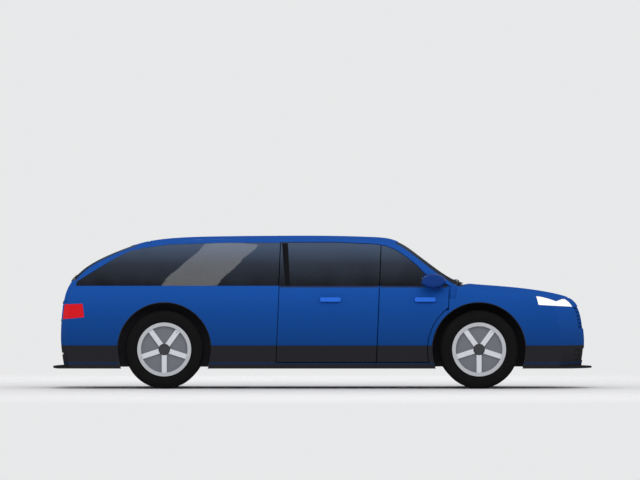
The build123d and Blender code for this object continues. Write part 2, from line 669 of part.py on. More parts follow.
with BuildPart() as floor_pan:
    add(box((KICK_UP_X, BULKHEAD_X + FLOOR), (-900, 900), (FLOOR_Z, FLOOR_TOP)))
    add(box((KICK_UP_X, BULKHEAD_X), (-TUNNEL_HALF_WIDTH - FLOOR, TUNNEL_HALF_WIDTH + FLOOR),
            (FLOOR_TOP, TUNNEL_TOP_Z + FLOOR)))
    add(box((BULKHEAD_X, BULKHEAD_X + FLOOR), (-900, 900), (FLOOR_TOP, TRAY_Z[1])))
    add(box((BULKHEAD_X, SCREEN_FOOT_X + 50), (-900, 900), TRAY_Z))
    add(box((LOAD_FLOOR_END_X, KICK_UP_X), (-900, 900), (LOAD_FLOOR_Z, LOAD_FLOOR_Z + FLOOR)))
    add(box((KICK_UP_X - FLOOR, KICK_UP_X), (-900, 900), (FLOOR_Z, LOAD_FLOOR_Z)))
    add(box((LOAD_FLOOR_END_X, LOAD_FLOOR_END_X + FLOOR), (-600, 600), (400, LOAD_FLOOR_Z)))
    add(box((-3000, 3000), (-TUNNEL_HALF_WIDTH, TUNNEL_HALF_WIDTH), (0, TUNNEL_TOP_Z)), mode=Mode.SUBTRACT)
    for axle_x in (FRONT_AXLE_X, REAR_AXLE_X):
        inner_y = FRONT_HOUSE_Y if axle_x > 0 else REAR_HOUSE_Y
        hole = arch_cylinder(axle_x, ARCH_RADIUS, inner_y, 1000)
        add(hole, mode=Mode.SUBTRACT)
        add(mirrored(hole), mode=Mode.SUBTRACT)
    for house in (FRONT_HOUSE, REAR_HOUSE):
        add(house)
        add(mirrored(house))
    add(CABIN, mode=Mode.INTERSECT)
    for side in (-1, 1):
        rail_y = (side * RAIL_INNER_Y, side * RAIL_OUTER_Y)
        add(box((BULKHEAD_X + 10, BEAM_X[0] + 5), rail_y, RAIL_Z))
    add(box(BEAM_X, (-620, 620), RAIL_Z))
    for piece in (
        box(SLAM_PANEL_X, (-SLAM_PANEL_Y, SLAM_PANEL_Y), SLAM_PANEL_Z),
        box(SLAM_POST_X, (SLAM_PANEL_Y - 50, SLAM_PANEL_Y), SLAM_POST_Z),
        box(SLAM_POST_X, (-SLAM_PANEL_Y, 50 - SLAM_PANEL_Y), SLAM_POST_Z),
    ):
        add(common(piece, UNDER_BONNET))
    scuttle_rear, scuttle_front = SCREEN_FOOT_X - LEDGE, BONNET_REAR_X - SHUT_GAP
    add(cut(
        common(LENGTH_22, CABIN, cross_band(scuttle_rear, scuttle_front, z=(TRAY_Z[0], 1600))),
        cut(cross_band(1000, SCREEN_FOOT_X + SEAT_GAP), LENGTH_10), LENGTH_46,
    ))
    add(common(LENGTH_22, CABIN, cross_band(scuttle_front - FLOOR, scuttle_front, z=(TRAY_Z[0], 1600))))

# ---------------------------------------------------------------- cabin
STEERING_Y = 370.0
STEERING_CENTRE = (690.0, STEERING_Y, 800.0)
COLUMN_ANGLE = 24.0
STEERING_RADIUS = 186.0
STEERING_GRIP = 15.0
COLUMN_RADIUS = 16.0
COLUMN_START = 2.0          # the column starts this far along its own axis, inside the boss
SHROUD_RADIUS = 38.0
BOSS = 42.0
BOSS_RADIUS = 60.0
SPOKE_THICKNESS = 16.0
COLUMN_AXIS = (cos(radians(COLUMN_ANGLE)), 0, -sin(radians(COLUMN_ANGLE)))
column = Plane(origin=STEERING_CENTRE, x_dir=(0, 1, 0), z_dir=COLUMN_AXIS)
DASH = [(1078, 560), (1078, 885), (1010, 925), (900, 915), (852, 860), (850, 760), (905, 700), (930, 560)]

with BuildPart() as dashboard:
    add(side_prism(DASH, -770, 770))
    add(arch_cylinder(FRONT_AXLE_X, ARCH_RADIUS + HOUSE + SEAT_GAP, -900, 900), mode=Mode.SUBTRACT)
    with Locations(column.offset(COLUMN_START)):
        Cylinder(COLUMN_RADIUS, 320, align=(Align.CENTER, Align.CENTER, Align.MIN))
    with Locations(column.offset(BOSS_RADIUS)):
        Cylinder(SHROUD_RADIUS, 200, align=(Align.CENTER, Align.CENTER, Align.MIN))
    add(box((1000, BULKHEAD_X - SEAT_GAP), (-300, 300), (500, 700)))

with BuildPart() as steering_wheel:
    with BuildSketch(Plane.XZ):
        with Locations((STEERING_RADIUS, 0)):
            RegularPolygon(STEERING_GRIP, 6)
    revolve(axis=Axis.Z)
    Cylinder(BOSS_RADIUS, BOSS)
    for angle in (0, 180, 270):
        with BuildSketch(Plane.XY.offset(-SPOKE_THICKNESS / 2)):
            with Locations(Rotation(0, 0, angle)):
                with Locations(((STEERING_RADIUS + BOSS_RADIUS - 20) / 2, 0)):
                    Rectangle(STEERING_RADIUS - BOSS_RADIUS + 14, 36)
        extrude(amount=SPOKE_THICKNESS)
    with Locations((0, 0, BOSS / 2)):
        Cylinder(
            COLUMN_RADIUS + PIN_GAP, BOSS / 2 - COLUMN_START + PIN_GAP,
            align=(Align.CENTER, Align.CENTER, Align.MAX), mode=Mode.SUBTRACT,
        )
STEERING_PLACED = column.location * steering_wheel.part

FRONT_SEAT_X = 60.0         # hip points
REAR_SEAT_X = -830.0
FRONT_SEAT_HALF = 210.0
REAR_SEAT_Y = 330.0
REAR_SEAT_HALF = 325.0
RECLINE = 24.0
CUSHION_LENGTH = 450.0      # ahead of the hip point
CUSHION_HEIGHT = 165.0      # at the hip point, above the seat's foot
BACKREST_HEIGHT = 560.0     # above the cushion
BACKREST_DEPTH = 90.0
HEADREST = (80.0, 250.0, 125.0)
HEADREST_GAP = 25.0         # above the backrest, bridged by the stalks
STALK = (7.0, 100.0, 70.0)  # radius, length and distance from the seat's middle


def seat(hip_x, base_z, y, half_width):
    """A cushion, a leaning backrest and a headrest; the hip point is over the back of the cushion."""
    top_x = hip_x - 20 - BACKREST_HEIGHT * sin(radians(RECLINE))
    cushion_z = base_z + CUSHION_HEIGHT
    top_z = cushion_z + BACKREST_HEIGHT
    head_x = top_x - BACKREST_DEPTH / 2
    with BuildPart() as piece:
        with BuildSketch(Plane.XZ.offset(-(y + half_width))):
            with BuildLine():
                Polyline(
                    (hip_x + CUSHION_LENGTH - 10, base_z), (hip_x + CUSHION_LENGTH, cushion_z + 20),
                    (hip_x + CUSHION_LENGTH - 70, cushion_z + 50), (hip_x - 10, cushion_z),
                    (top_x, top_z - 10), (top_x - BACKREST_DEPTH, top_z),
                    (hip_x - 60 - BACKREST_DEPTH, cushion_z - 45), (hip_x - 120, base_z), close=True,
                )
            make_face()
        extrude(amount=2 * half_width)
    with BuildPart() as headrest:
        with Locations((head_x - 60, y, top_z + HEADREST_GAP + HEADREST[2] / 2)):
            Box(*HEADREST)
    with BuildPart() as stalk:
        for side in (-1, 1):
            with Locations((head_x - 42, y + side * STALK[2], top_z + 10)):
                Cylinder(STALK[0], STALK[1], rotation=(0, -RECLINE, 0))
    return joined(piece.part, headrest.part, stalk.part)


TUNNEL_ROOM = box(
    (-2000, BULKHEAD_X), (-TUNNEL_HALF_WIDTH - FLOOR - SEAT_GAP, TUNNEL_HALF_WIDTH + FLOOR + SEAT_GAP),
    (0, TUNNEL_TOP_Z + FLOOR + SEAT_GAP),
)
KICK_UP_ROOM = box((-2000, KICK_UP_X + SEAT_GAP), (-900, 900), (0, LOAD_FLOOR_Z + FLOOR + SEAT_GAP))
with BuildPart() as seats:
    for side in (-1, 1):
        add(seat(FRONT_SEAT_X, FLOOR_TOP + SEAT_GAP, side * STEERING_Y, FRONT_SEAT_HALF))
        add(seat(REAR_SEAT_X, FLOOR_TOP + SEAT_GAP, side * REAR_SEAT_Y, REAR_SEAT_HALF))
    add(TUNNEL_ROOM, mode=Mode.SUBTRACT)
    add(KICK_UP_ROOM, mode=Mode.SUBTRACT)

# ---------------------------------------------------------------- running gear
ARM = 22.0                  # thickness of the arms
ARM_WIDTH = 45.0
ARM_END_RADIUS = 26.0
TOWER_THICKNESS = 45.0      # posts that carry the arms
SUBFRAME_TOP_Z = 262.0
HUB_RADIUS = 70.0
HUB_Y = (10.0, 30.0)        # outboard of the kingpin
LOWER_ARM_Z = (LOWER_BALL_Z - 44, LOWER_BALL_Z - 44 + ARM)
UPPER_ARM_Z = (UPPER_BALL_Z + 26, UPPER_BALL_Z + 26 + ARM)


def wishbone(z, root_y, root_half):
    """A triangular arm from the subframe out to a ball joint."""
    with BuildPart() as arm:
        with BuildSketch(Plane.XY.offset(z[0])):
            with BuildLine():
                half = [
                    (root_half - ARM_WIDTH, root_y), (root_half, root_y), (ARM_END_RADIUS - 4, KINGPIN_Y),
                ]
                Polyline(
                    *[(FRONT_AXLE_X - x, y) for x, y in half],
                    *[(FRONT_AXLE_X + x, y) for x, y in reversed(half)],
                    (FRONT_AXLE_X, KINGPIN_Y - 2 * ARM_WIDTH), close=True,
                )
            make_face()
            with Locations((FRONT_AXLE_X, KINGPIN_Y)):
                Circle(ARM_END_RADIUS)
                Circle(BALL_PIN_RADIUS + PIN_GAP, mode=Mode.SUBTRACT)
        extrude(amount=z[1] - z[0])
    return arm.part


SUBFRAME_Y = RAIL_OUTER_Y + SEAT_GAP
with BuildPart() as front_suspension:
    half_y = SUBFRAME_Y + TOWER_THICKNESS
    add(box((FRONT_AXLE_X - 170, FRONT_AXLE_X + 170), (-half_y, half_y), (LOWER_ARM_Z[0], SUBFRAME_TOP_Z)))
    side_parts = [
        wishbone(LOWER_ARM_Z, half_y - 15, 150), wishbone(UPPER_ARM_Z, half_y - 15, 95),
        box((FRONT_AXLE_X - 100, FRONT_AXLE_X + 100), (SUBFRAME_Y, half_y), (LOWER_ARM_Z[0], UPPER_ARM_Z[1])),
    ]
    for part in side_parts:
        add(part)
        add(mirrored(part))

with BuildPart() as knuckle_left:
    add(box(
        (FRONT_AXLE_X - 32, FRONT_AXLE_X + 32), (KINGPIN_Y - 22, KINGPIN_Y + 22),
        (LOWER_ARM_Z[1] + 6, UPPER_ARM_Z[0] - 6),
    ))
    with Locations((FRONT_AXLE_X, KINGPIN_Y, LOWER_ARM_Z[0] + 2)):
        Cylinder(
            BALL_PIN_RADIUS, UPPER_ARM_Z[1] - LOWER_ARM_Z[0] - 4,
            align=(Align.CENTER, Align.CENTER, Align.MIN),
        )
    add(arch_cylinder(FRONT_AXLE_X, SPINDLE_RADIUS, KINGPIN_Y, SPINDLE_END_Y))
    add(arch_cylinder(FRONT_AXLE_X, HUB_RADIUS, KINGPIN_Y + HUB_Y[0], KINGPIN_Y + HUB_Y[1]))

BEAM_RADIUS = 38.0
TRAILING_ARM_Y = (500.0, 560.0)
TRAILING_ARM_Z = (342.0, 398.0)
with BuildPart() as rear_suspension:
    add(arch_cylinder(REAR_AXLE_X, BEAM_RADIUS, -KINGPIN_Y, KINGPIN_Y))
    add(arch_cylinder(REAR_AXLE_X, SPINDLE_RADIUS, -SPINDLE_END_Y, SPINDLE_END_Y))
    for side in (-1, 1):
        arm_y = (side * TRAILING_ARM_Y[0], side * TRAILING_ARM_Y[1])
        add(box((REAR_AXLE_X - 20, KICK_UP_X - FLOOR - SEAT_GAP), arm_y, TRAILING_ARM_Z))
        hub_y = sorted(side * (KINGPIN_Y + y) for y in HUB_Y)
        add(arch_cylinder(REAR_AXLE_X, HUB_RADIUS, *hub_y))

ENGINE_HALF_X = 330.0
ENGINE_Z = (290.0, 800.0)
with BuildPart() as engine_block:
    half_y = RAIL_INNER_Y - SEAT_GAP
    add(box((FRONT_AXLE_X - ENGINE_HALF_X, FRONT_AXLE_X + ENGINE_HALF_X), (-half_y, half_y), ENGINE_Z))

SILENCER_X = (-2250.0, -1720.0)
SILENCER_HALF_Y = 260.0
SILENCER_FOOT_Z = 330.0
PIPE_Z = 270.0
PIPE_RADIUS = 28.0
PIPE_FRONT_X = 870.0
with BuildPart() as exhaust:
    add(box(SILENCER_X, (-SILENCER_HALF_Y, SILENCER_HALF_Y), (SILENCER_FOOT_Z, LOAD_FLOOR_Z - SEAT_GAP)))
    with Locations(Plane(origin=(SILENCER_X[1] - 10, 0, PIPE_Z), z_dir=(1, 0, 0))):
        Cylinder(
            PIPE_RADIUS, PIPE_FRONT_X - SILENCER_X[1] + 10, align=(Align.CENTER, Align.CENTER, Align.MIN)
        )
    add(box((SILENCER_X[1] - 80, SILENCER_X[1] - 1), (-30, 30), (PIPE_Z - 20, SILENCER_FOOT_Z + 10)))

# ---------------------------------------------------------------- wheels
BEAD_RADIUS = 241.5
BARREL_RADIUS = 226.0
FLANGE = (103.0, 111.0)
FACE = (60.0, 74.0)
SPOKES = 5
SPOKE_WIDTH = 47.0
SPOKE_FACE = 98.0
CAP_RADIUS = 54.0
HUB_SEAT = 70.0             # radius of the rim's middle, which sits on the hub
LIP = 6.0                   # depth of the rim's outer lip
BORE_DEPTH = SPINDLE_END_Y - WHEEL_Y + 2


def wheel_plane(axle_x):
    """Centre of a left wheel, with local +Z pointing outwards along the axle and local +Y down."""
    return Plane(origin=(axle_x, WHEEL_Y, AXLE_Z), x_dir=(1, 0, 0), z_dir=(0, 1, 0))


with BuildPart() as tyre:
    half, bead = TYRE_WIDTH / 2, FLANGE[0] - 0.5
    section = [
        (BEAD_RADIUS, bead), (RIM_FLANGE_RADIUS + 1, bead), (RIM_FLANGE_RADIUS + 20, half - 3),
        (RIM_FLANGE_RADIUS + 50, half), (TYRE_RADIUS - 20, half - 11), (TYRE_RADIUS, half - 42),
    ]
    with BuildSketch(Plane.XZ):
        with BuildLine():
            Polyline(*section, *[(r, -w) for r, w in reversed(section)], close=True)
        make_face()
    revolve(axis=Axis.Z)

with BuildPart() as rim:
    with BuildSketch(Plane.XZ):
        with BuildLine():
            Polyline(
                (BARREL_RADIUS, -FLANGE[1]), (RIM_FLANGE_RADIUS, -FLANGE[1]), (RIM_FLANGE_RADIUS, -FLANGE[0]),
                (BEAD_RADIUS - SEAT_GAP, -FLANGE[0]), (BEAD_RADIUS - SEAT_GAP, FLANGE[0]),
                (RIM_FLANGE_RADIUS, FLANGE[0]), (RIM_FLANGE_RADIUS, FLANGE[1]),
                (BARREL_RADIUS - LIP, FLANGE[1]), (BARREL_RADIUS - LIP, FACE[1]),
                (SPINDLE_RADIUS + PIVOT_GAP, FACE[1]), (SPINDLE_RADIUS + PIVOT_GAP, 0),
                (HUB_SEAT, 0), (HUB_SEAT, FACE[0]), (BARREL_RADIUS, FACE[0]), close=True,
            )
        make_face()
    revolve(axis=Axis.Z)
    with BuildSketch(Plane.XY.offset(FACE[1])):
        with PolarLocations(0, SPOKES, start_angle=90):
            with Locations((130, 0)):
                Rectangle(200, SPOKE_WIDTH)
        Circle(CAP_RADIUS)
    extrude(amount=SPOKE_FACE - FACE[1])
    with BuildSketch(Plane.XY.offset(BORE_DEPTH)):
        Circle(CAP_RADIUS - 5)
    extrude(amount=SPOKE_FACE + 6 - BORE_DEPTH)
    with BuildSketch(Plane.XY):
        Circle(SPINDLE_RADIUS + PIVOT_GAP)
    extrude(amount=BORE_DEPTH + PIVOT_GAP, mode=Mode.SUBTRACT)

# ---------------------------------------------------------------- door furniture
HANDLES = {"front": 966.0, "rear": 74.0}
HANDLE_SIZE = (195.0, 40.0)
HANDLE_Z = 841.0
HANDLE_Y = 962.0            # outer face of the grip
HANDLE_BAR = 16.0
HANDLE_FOOT = 32.0
MIRROR_CENTRE = (1039.0, 1016.0)
MIRROR_RADII = (122.0, 69.0)
MIRROR_SECTIONS = [(925, 0.62), (942, 0.9), (975, 1.0), (1030, 0.94), (1058, 0.8), (1072, 0.5)]
BODY_PLUS = crosswise_form(-SEAT_GAP, -SEAT_GAP)


def handle(x):
    """A bar handle seated on the door skin at both ends."""
    length, height = HANDLE_SIZE
    with BuildPart() as bar:
        grip_z = (HANDLE_Z - height / 2, HANDLE_Z + height / 2)
        add(box((x - length / 2, x + length / 2), (900, HANDLE_Y), grip_z))
        fillet(bar.edges().filter_by(Axis.Y), 15)
        add(BODY_PLUS, mode=Mode.SUBTRACT)
        gap_x = (x - length / 2 + HANDLE_FOOT, x + length / 2 - HANDLE_FOOT)
        add(box(gap_x, (900, HANDLE_Y - HANDLE_BAR), (700, 1000)), mode=Mode.SUBTRACT)
    return bar.part


with BuildPart() as handle_front_left:
    add(handle(HANDLES["front"]))
with BuildPart() as handle_rear_left:
    add(handle(HANDLES["rear"]))

MIRROR_OUTLINE = [(cos(radians(angle)), sin(radians(angle))) for angle in range(0, 360, 15)]
MIRROR_HOUSING = faceted([
    [(MIRROR_CENTRE[0] + share * MIRROR_RADII[0] * u, y, MIRROR_CENTRE[1] + share * MIRROR_RADII[1] * v)
     for u, v in MIRROR_OUTLINE]
    for y, share in MIRROR_SECTIONS
])

with BuildPart() as mirror_left:
    add(MIRROR_HOUSING)
    x, z = MIRROR_CENTRE
    add(box((x + 5, x + 85), (860, MIRROR_SECTIONS[1][0] + 20), (BELT_Z - 26, z - 6)))
    add(BODY_PLUS, mode=Mode.SUBTRACT)
    add(box((0, 1500), (0, 880), (0, 1600)), mode=Mode.SUBTRACT)

# ---------------------------------------------------------------- all the pieces
PAIRED = {
    "body_side": body_side_left.part, "door_front": door_front_left.part, "door_rear": door_rear_left.part,
    "door_glass_front": glass_front_left.part, "door_glass_rear": glass_rear_left.part,
    "handle_front": handle_front_left.part, "handle_rear": handle_rear_left.part, "mirror": mirror_left.part,
    "knuckle": knuckle_left.part,
    "tyre_front": wheel_plane(FRONT_AXLE_X).location * tyre.part,
    "tyre_rear": wheel_plane(REAR_AXLE_X).location * tyre.part,
    "rim_front": wheel_plane(FRONT_AXLE_X).location * rim.part,
    "rim_rear": wheel_plane(REAR_AXLE_X).location * rim.part,
}
BOTH_SIDES = {
    "quarter_windows": quarter_left.part, "headlamps": headlamp_left.part, "tail_lamps": tail_lamp_left.part,
    "front_wings": wing_left.part,
}
SINGLE = {
    "bonnet": bonnet.part, "front_bumper": front_bumper.part, "grille": grille.part,
    "rear_bumper": rear_bumper.part, "windscreen": windscreen.part, "roof_panel": roof_panel.part,
    "tailgate": tailgate.part, "rear_window": rear_window.part, "floor_pan": floor_pan.part,
    "dashboard": dashboard.part, "steering_wheel": STEERING_PLACED, "seats": seats.part,
    "front_suspension": front_suspension.part, "rear_suspension": rear_suspension.part,
    "engine_block": engine_block.part, "exhaust": exhaust.part,
}


def write(name, shape):
    shape.label = name
    export_step(shape, f"parts/{name}.step")


for name, shape in SINGLE.items():
    write(name, shape)
for name, shape in PAIRED.items():
    write(f"{name}_left", shape)
    write(f"{name}_right", mirrored(shape))
for name, shape in BOTH_SIDES.items():
    write(name, Compound([*shape.solids(), *mirrored(shape).solids()]))
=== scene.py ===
"""Looks of the crossover estate car: paint, glass, lamps, wheels, trim and cabin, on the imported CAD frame.

Metres, in the car's frame: +X forward, +Y to its left, +Z up, ground at 0.
"""
import math

import bpy
import bmesh
from mathutils import Matrix, Vector
from mathutils.bvhtree import BVHTree


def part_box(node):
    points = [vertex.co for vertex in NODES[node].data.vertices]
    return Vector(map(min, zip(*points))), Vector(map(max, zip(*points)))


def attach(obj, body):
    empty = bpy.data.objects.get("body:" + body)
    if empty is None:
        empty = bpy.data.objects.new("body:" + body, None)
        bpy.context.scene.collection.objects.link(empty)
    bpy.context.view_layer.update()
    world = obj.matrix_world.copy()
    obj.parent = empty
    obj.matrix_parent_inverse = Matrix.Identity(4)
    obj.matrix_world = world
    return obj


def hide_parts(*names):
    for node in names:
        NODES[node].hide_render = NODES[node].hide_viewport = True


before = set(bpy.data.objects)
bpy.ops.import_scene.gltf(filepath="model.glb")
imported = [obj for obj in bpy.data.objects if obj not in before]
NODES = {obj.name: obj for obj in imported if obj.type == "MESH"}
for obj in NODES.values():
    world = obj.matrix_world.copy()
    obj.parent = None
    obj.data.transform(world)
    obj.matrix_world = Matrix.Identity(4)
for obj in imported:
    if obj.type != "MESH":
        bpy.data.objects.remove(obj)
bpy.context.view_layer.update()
SIDES = (("left", 1), ("right", -1))

# ---------------------------------------------------------------- sizes, from the frame where it has them
TYRE_LOW, TYRE_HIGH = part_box("tyre_front_left")
REAR_LOW, REAR_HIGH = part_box("tyre_rear_left")
FRONT_AXLE_X = (TYRE_LOW.x + TYRE_HIGH.x) / 2
REAR_AXLE_X = (REAR_LOW.x + REAR_HIGH.x) / 2
AXLE_Z = (TYRE_LOW.z + TYRE_HIGH.z) / 2
WHEEL_Y = (TYRE_LOW.y + TYRE_HIGH.y) / 2
TYRE_RADIUS = (TYRE_HIGH.z - TYRE_LOW.z) / 2
TYRE_HALF_WIDTH = (TYRE_HIGH.y - TYRE_LOW.y) / 2
RIM_EDGE, RING_RADIUS, CAP_RADIUS = 0.2535, 0.2185, 0.0545
SPOKE_FACE, CAP_FACE = 0.0755, 0.076    # outwards from the wheel's middle
CLADDING_TOP = 0.407
ACCENT_BAND = (0.232, 0.250)    # a thin navy line in the cladding
BELT = 0.970                    # foot of the side windows


# ---------------------------------------------------------------- materials
def srgb(r, g, b):
    """An sRGB colour, 0 to 255, as linear RGBA."""
    def linear(c):
        c /= 255
        return c / 12.92 if c <= 0.04045 else ((c + 0.055) / 1.055) ** 2.4
    return (linear(r), linear(g), linear(b), 1.0)


class Graph:
    """A material's node tree, with short calls to add and join nodes."""

    def __init__(self, name):
        self.material = bpy.data.materials.new(name)
        self.material.use_nodes = True
        self.tree = self.material.node_tree
        self.shader = self.tree.nodes["Principled BSDF"]

    def give(self, socket, value):
        """Sets a plain value on a socket, or links a node's output to it."""
        if isinstance(value, (int, float, tuple)):
            socket.default_value = value
        else:
            self.tree.links.new(value, socket)

    def set(self, **values):
        """Gives the shader's own sockets their values; _ stands for a space."""
        for key, value in values.items():
            self.give(self.shader.inputs[key.replace("_", " ")], value)

    def node(self, kind, inputs=None, **settings):
        n = self.tree.nodes.new(kind)
        for key, value in settings.items():
            setattr(n, key, value)
        for key, value in (inputs or {}).items():
            self.give(n.inputs[key], value)
        return n

    def place(self):
        """The car's own coordinates."""
        return self.node("ShaderNodeTexCoord").outputs["Object"]

    def axis(self, name):
        return self.node("ShaderNodeSeparateXYZ", {0: self.place()}).outputs[name]

    def math(self, operation, *values):
        return self.node("ShaderNodeMath", dict(enumerate(values)), operation=operation).outputs[0]

    def product(self, first, *others):
        for other in others:
            first = self.math("MULTIPLY", first, other)
        return first

    def rest_of(self, value):
        return self.math("SUBTRACT", 1.0, value)

    def distance(self, a, b):
        return self.math("SQRT", self.math("ADD", self.product(a, a), self.product(b, b)))

    def wave(self, value, pitch):
        return self.math("SINE", self.product(value, pitch))

    def noise(self, scale, detail=2.0):
        sockets = {"Scale": scale, "Detail": detail, "Vector": self.place()}
        return self.node("ShaderNodeTexNoise", sockets).outputs["Fac"]

    def ramp(self, factor, stops):
        n = self.node("ShaderNodeValToRGB", {0: factor})
        while len(n.color_ramp.elements) < len(stops):
            n.color_ramp.elements.new(0.5)
        for element, (at, colour) in zip(n.color_ramp.elements, stops):
            element.position = at
            element.color = colour
        return n.outputs["Color"]

    def mix(self, factor, a, b):
        return self.node("ShaderNodeMix", {0: factor, 6: a, 7: b}, data_type="RGBA").outputs[2]

    def mix_value(self, factor, a, b):
        return self.node("ShaderNodeMix", {0: factor, 2: a, 3: b}, data_type="FLOAT").outputs[0]

    def map_range(self, value, low, high, to_low=0.0, to_high=1.0, **settings):
        sockets = {"Value": value, "From Min": low, "From Max": high, "To Min": to_low, "To Max": to_high}
        return self.node("ShaderNodeMapRange", sockets, **settings).outputs[0]

    def blend(self, value, a, b, low=0.3, high=0.7, most=1.0):
        """From a to b as a value goes from low to high, as far as a share of b."""
        return self.mix(self.map_range(value, low, high, 0.0, most), a, b)

    def step(self, value, edge, softness=0.0004):
        """0 below edge and 1 above it."""
        return self.map_range(value, edge - softness, edge + softness)

    def facing_share(self, weight):
        """A coat's weight, full where the surface faces the view and none where it is seen edge on."""
        layer = self.node("ShaderNodeLayerWeight", {"Blend": 0.5})
        return self.product(self.rest_of(layer.outputs["Facing"]), weight)

    def bump(self, height, strength, distance=0.001):
        """Ends the material with its relief, and returns it."""
        n = self.node("ShaderNodeBump", {"Strength": strength, "Distance": distance, "Height": height})
        self.give(self.shader.inputs["Normal"], n.outputs[0])
        return self.material


PAINT_COAT, GLASS_COAT = 0.09, 0.28
# Top of the side windows from tail to nose, as (x, z): pillars behind the glass are black up to it
WINDOW_TOP = [
    (-2.34, 0.90), (-2.322, 1.000), (-2.247, 1.048), (-2.152, 1.107), (-1.952, 1.228), (-1.819, 1.292),
    (-1.677, 1.323), (-1.449, 1.355), (-0.917, 1.373), (0.128, 1.373), (0.508, 1.355), (0.603, 1.337),
    (0.698, 1.299), (0.793, 1.233), (0.888, 1.157), (0.964, 1.078), (1.060, 1.020), (1.164, 0.980),
    (1.186, 0.90),
]
TAIL_MARGIN = 0.12              # body colour behind the last window
# Where the trim inside the car begins, as (height, distance from the middle)
TRIM_LIMIT = [(0.20, 0.860), (0.85, 0.860), (0.97, 0.820), (1.24, 0.697), (1.31, 0.660), (1.34, 0.500)]
TRIM_X = (-2.28, -1.60, 1.12)   # its rear end below and above the belt, and its front end


def behind_glass(g):
    """1 where a point lies inside the side windows' outline, seen from the side."""
    x, z = g.axis("X"), g.axis("Z")
    low_x, high_x = WINDOW_TOP[0][0], WINDOW_TOP[-1][0]
    curve = g.node("ShaderNodeFloatCurve")
    line = curve.mapping.curves[0]
    shares = [((at - low_x) / (high_x - low_x), top - 0.5) for at, top in WINDOW_TOP]
    line.points[0].location, line.points[-1].location = shares[0], shares[-1]
    for share in shares[1:-1]:
        line.points.new(*share)
    for point in line.points:
        point.handle_type = "VECTOR"
    curve.mapping.update()
    g.give(curve.inputs["Value"], g.map_range(x, low_x, high_x))
    under = g.math("LESS_THAN", z, g.math("ADD", curve.outputs[0], 0.5))
    above_belt = g.math("GREATER_THAN", z, BELT + 0.002)
    return g.product(under, above_belt, g.math("GREATER_THAN", x, low_x + TAIL_MARGIN))


def inside_trim(g):
    """1 on the faces that look into the cabin and the load space."""
    x, y, z = g.axis("X"), g.axis("Y"), g.axis("Z")
    low, high = TRIM_LIMIT[0][0], TRIM_LIMIT[-1][0]
    stops = [((at - low) / (high - low), (limit, limit, limit, 1)) for at, limit in TRIM_LIMIT]
    inner = g.math("LESS_THAN", g.math("ABSOLUTE", y), g.ramp(g.map_range(z, low, high), stops))
    below = g.product(g.math("GREATER_THAN", x, TRIM_X[0]), g.math("LESS_THAN", z, BELT))
    ahead = g.math("MAXIMUM", below, g.math("GREATER_THAN", x, TRIM_X[1]))
    return g.product(inner, ahead, g.math("LESS_THAN", x, TRIM_X[2]))


def paint_and_cladding(name, windows=False, trim=False):
    """Blue paint above the cladding line, darker towards the bottom as painted shade, grained dark plastic
    below it with a thin navy line.
    """
    g = Graph(name)
    height = g.axis("Z")
    # Painted shade: the blue is darkest at the cladding line and lightest towards the roof.
    blue = g.ramp(g.map_range(height, CLADDING_TOP, 1.45),
                  [(0.0, srgb(12, 58, 120)), (0.5, srgb(22, 76, 156)), (1.0, srgb(30, 79, 160))])
    blue = g.blend(g.noise(2600, 1.0), blue, srgb(70, 120, 205), 0.45, 0.75, 0.05)
    blue = g.blend(g.noise(1.3), blue, srgb(16, 46, 110), 0.3, 0.7, 0.05)
    grain = g.noise(900, 3.0)
    grey = g.blend(grain, srgb(34, 34, 37), srgb(45, 45, 49), 0.35, 0.65)
    in_line = g.product(g.step(height, ACCENT_BAND[0]), g.rest_of(g.step(height, ACCENT_BAND[1])))
    grey = g.mix(in_line, grey, srgb(26, 44, 76))
    gloss = painted = g.step(height, CLADDING_TOP)
    colour = g.mix(painted, grey, blue)
    if windows:
        hidden = behind_glass(g)
        colour = g.mix(hidden, colour, srgb(15, 15, 17))
        gloss = g.product(gloss, g.rest_of(hidden))
    if trim:
        lined = inside_trim(g)
        colour = g.mix(lined, colour, g.blend(grain, srgb(60, 61, 66), srgb(76, 78, 83), 0.35, 0.65))
        gloss = g.product(gloss, g.rest_of(lined))
    g.set(Base_Color=colour, Roughness=g.mix_value(gloss, 0.62, 0.30), Specular_IOR_Level=0.0,
          Coat_Weight=g.product(gloss, g.facing_share(PAINT_COAT)), Coat_Roughness=0.05, Coat_IOR=1.4)
    return g.bump(g.mix_value(painted, grain, g.product(g.noise(150, 1.0), 0.06)), 0.25, 0.0006)


def plain(name, colour, second, scale, roughness, metallic=0.0, bump=0.2, depth=0.0005, **values):
    """A surface whose colour and roughness vary a little with a fine noise."""
    g = Graph(name)
    noise = g.noise(scale, 3.0)
    g.set(Base_Color=g.blend(noise, colour, second), Metallic=metallic,
          Roughness=g.map_range(noise, 0.2, 0.8, roughness - 0.05, roughness + 0.05), **values)
    return g.bump(noise, bump, depth)


def glass_material(name, alpha, top, foot, low=0.960, high=1.350):
    """Tinted glass with a painted sky reflection that lightens it towards the roof, and clear reflections."""
    g = Graph(name)
    # Painted reflection: the glass runs from dark tint at its foot to lighter towards its top.
    tint_and_painted_sky = g.ramp(g.map_range(g.axis("Z"), low, high), [(0.0, foot), (0.55, srgb(38, 45, 57)), (1.0, top)])
    hazy = g.blend(g.noise(3.5), tint_and_painted_sky, srgb(90, 104, 118), 0.35, 0.65, 0.05)
    g.set(Base_Color=hazy, Roughness=0.2, Metallic=0.0, Alpha=alpha, Specular_IOR_Level=0.0,
          Coat_Weight=g.facing_share(GLASS_COAT), Coat_Roughness=0.02, Coat_IOR=1.5)
    return g.material


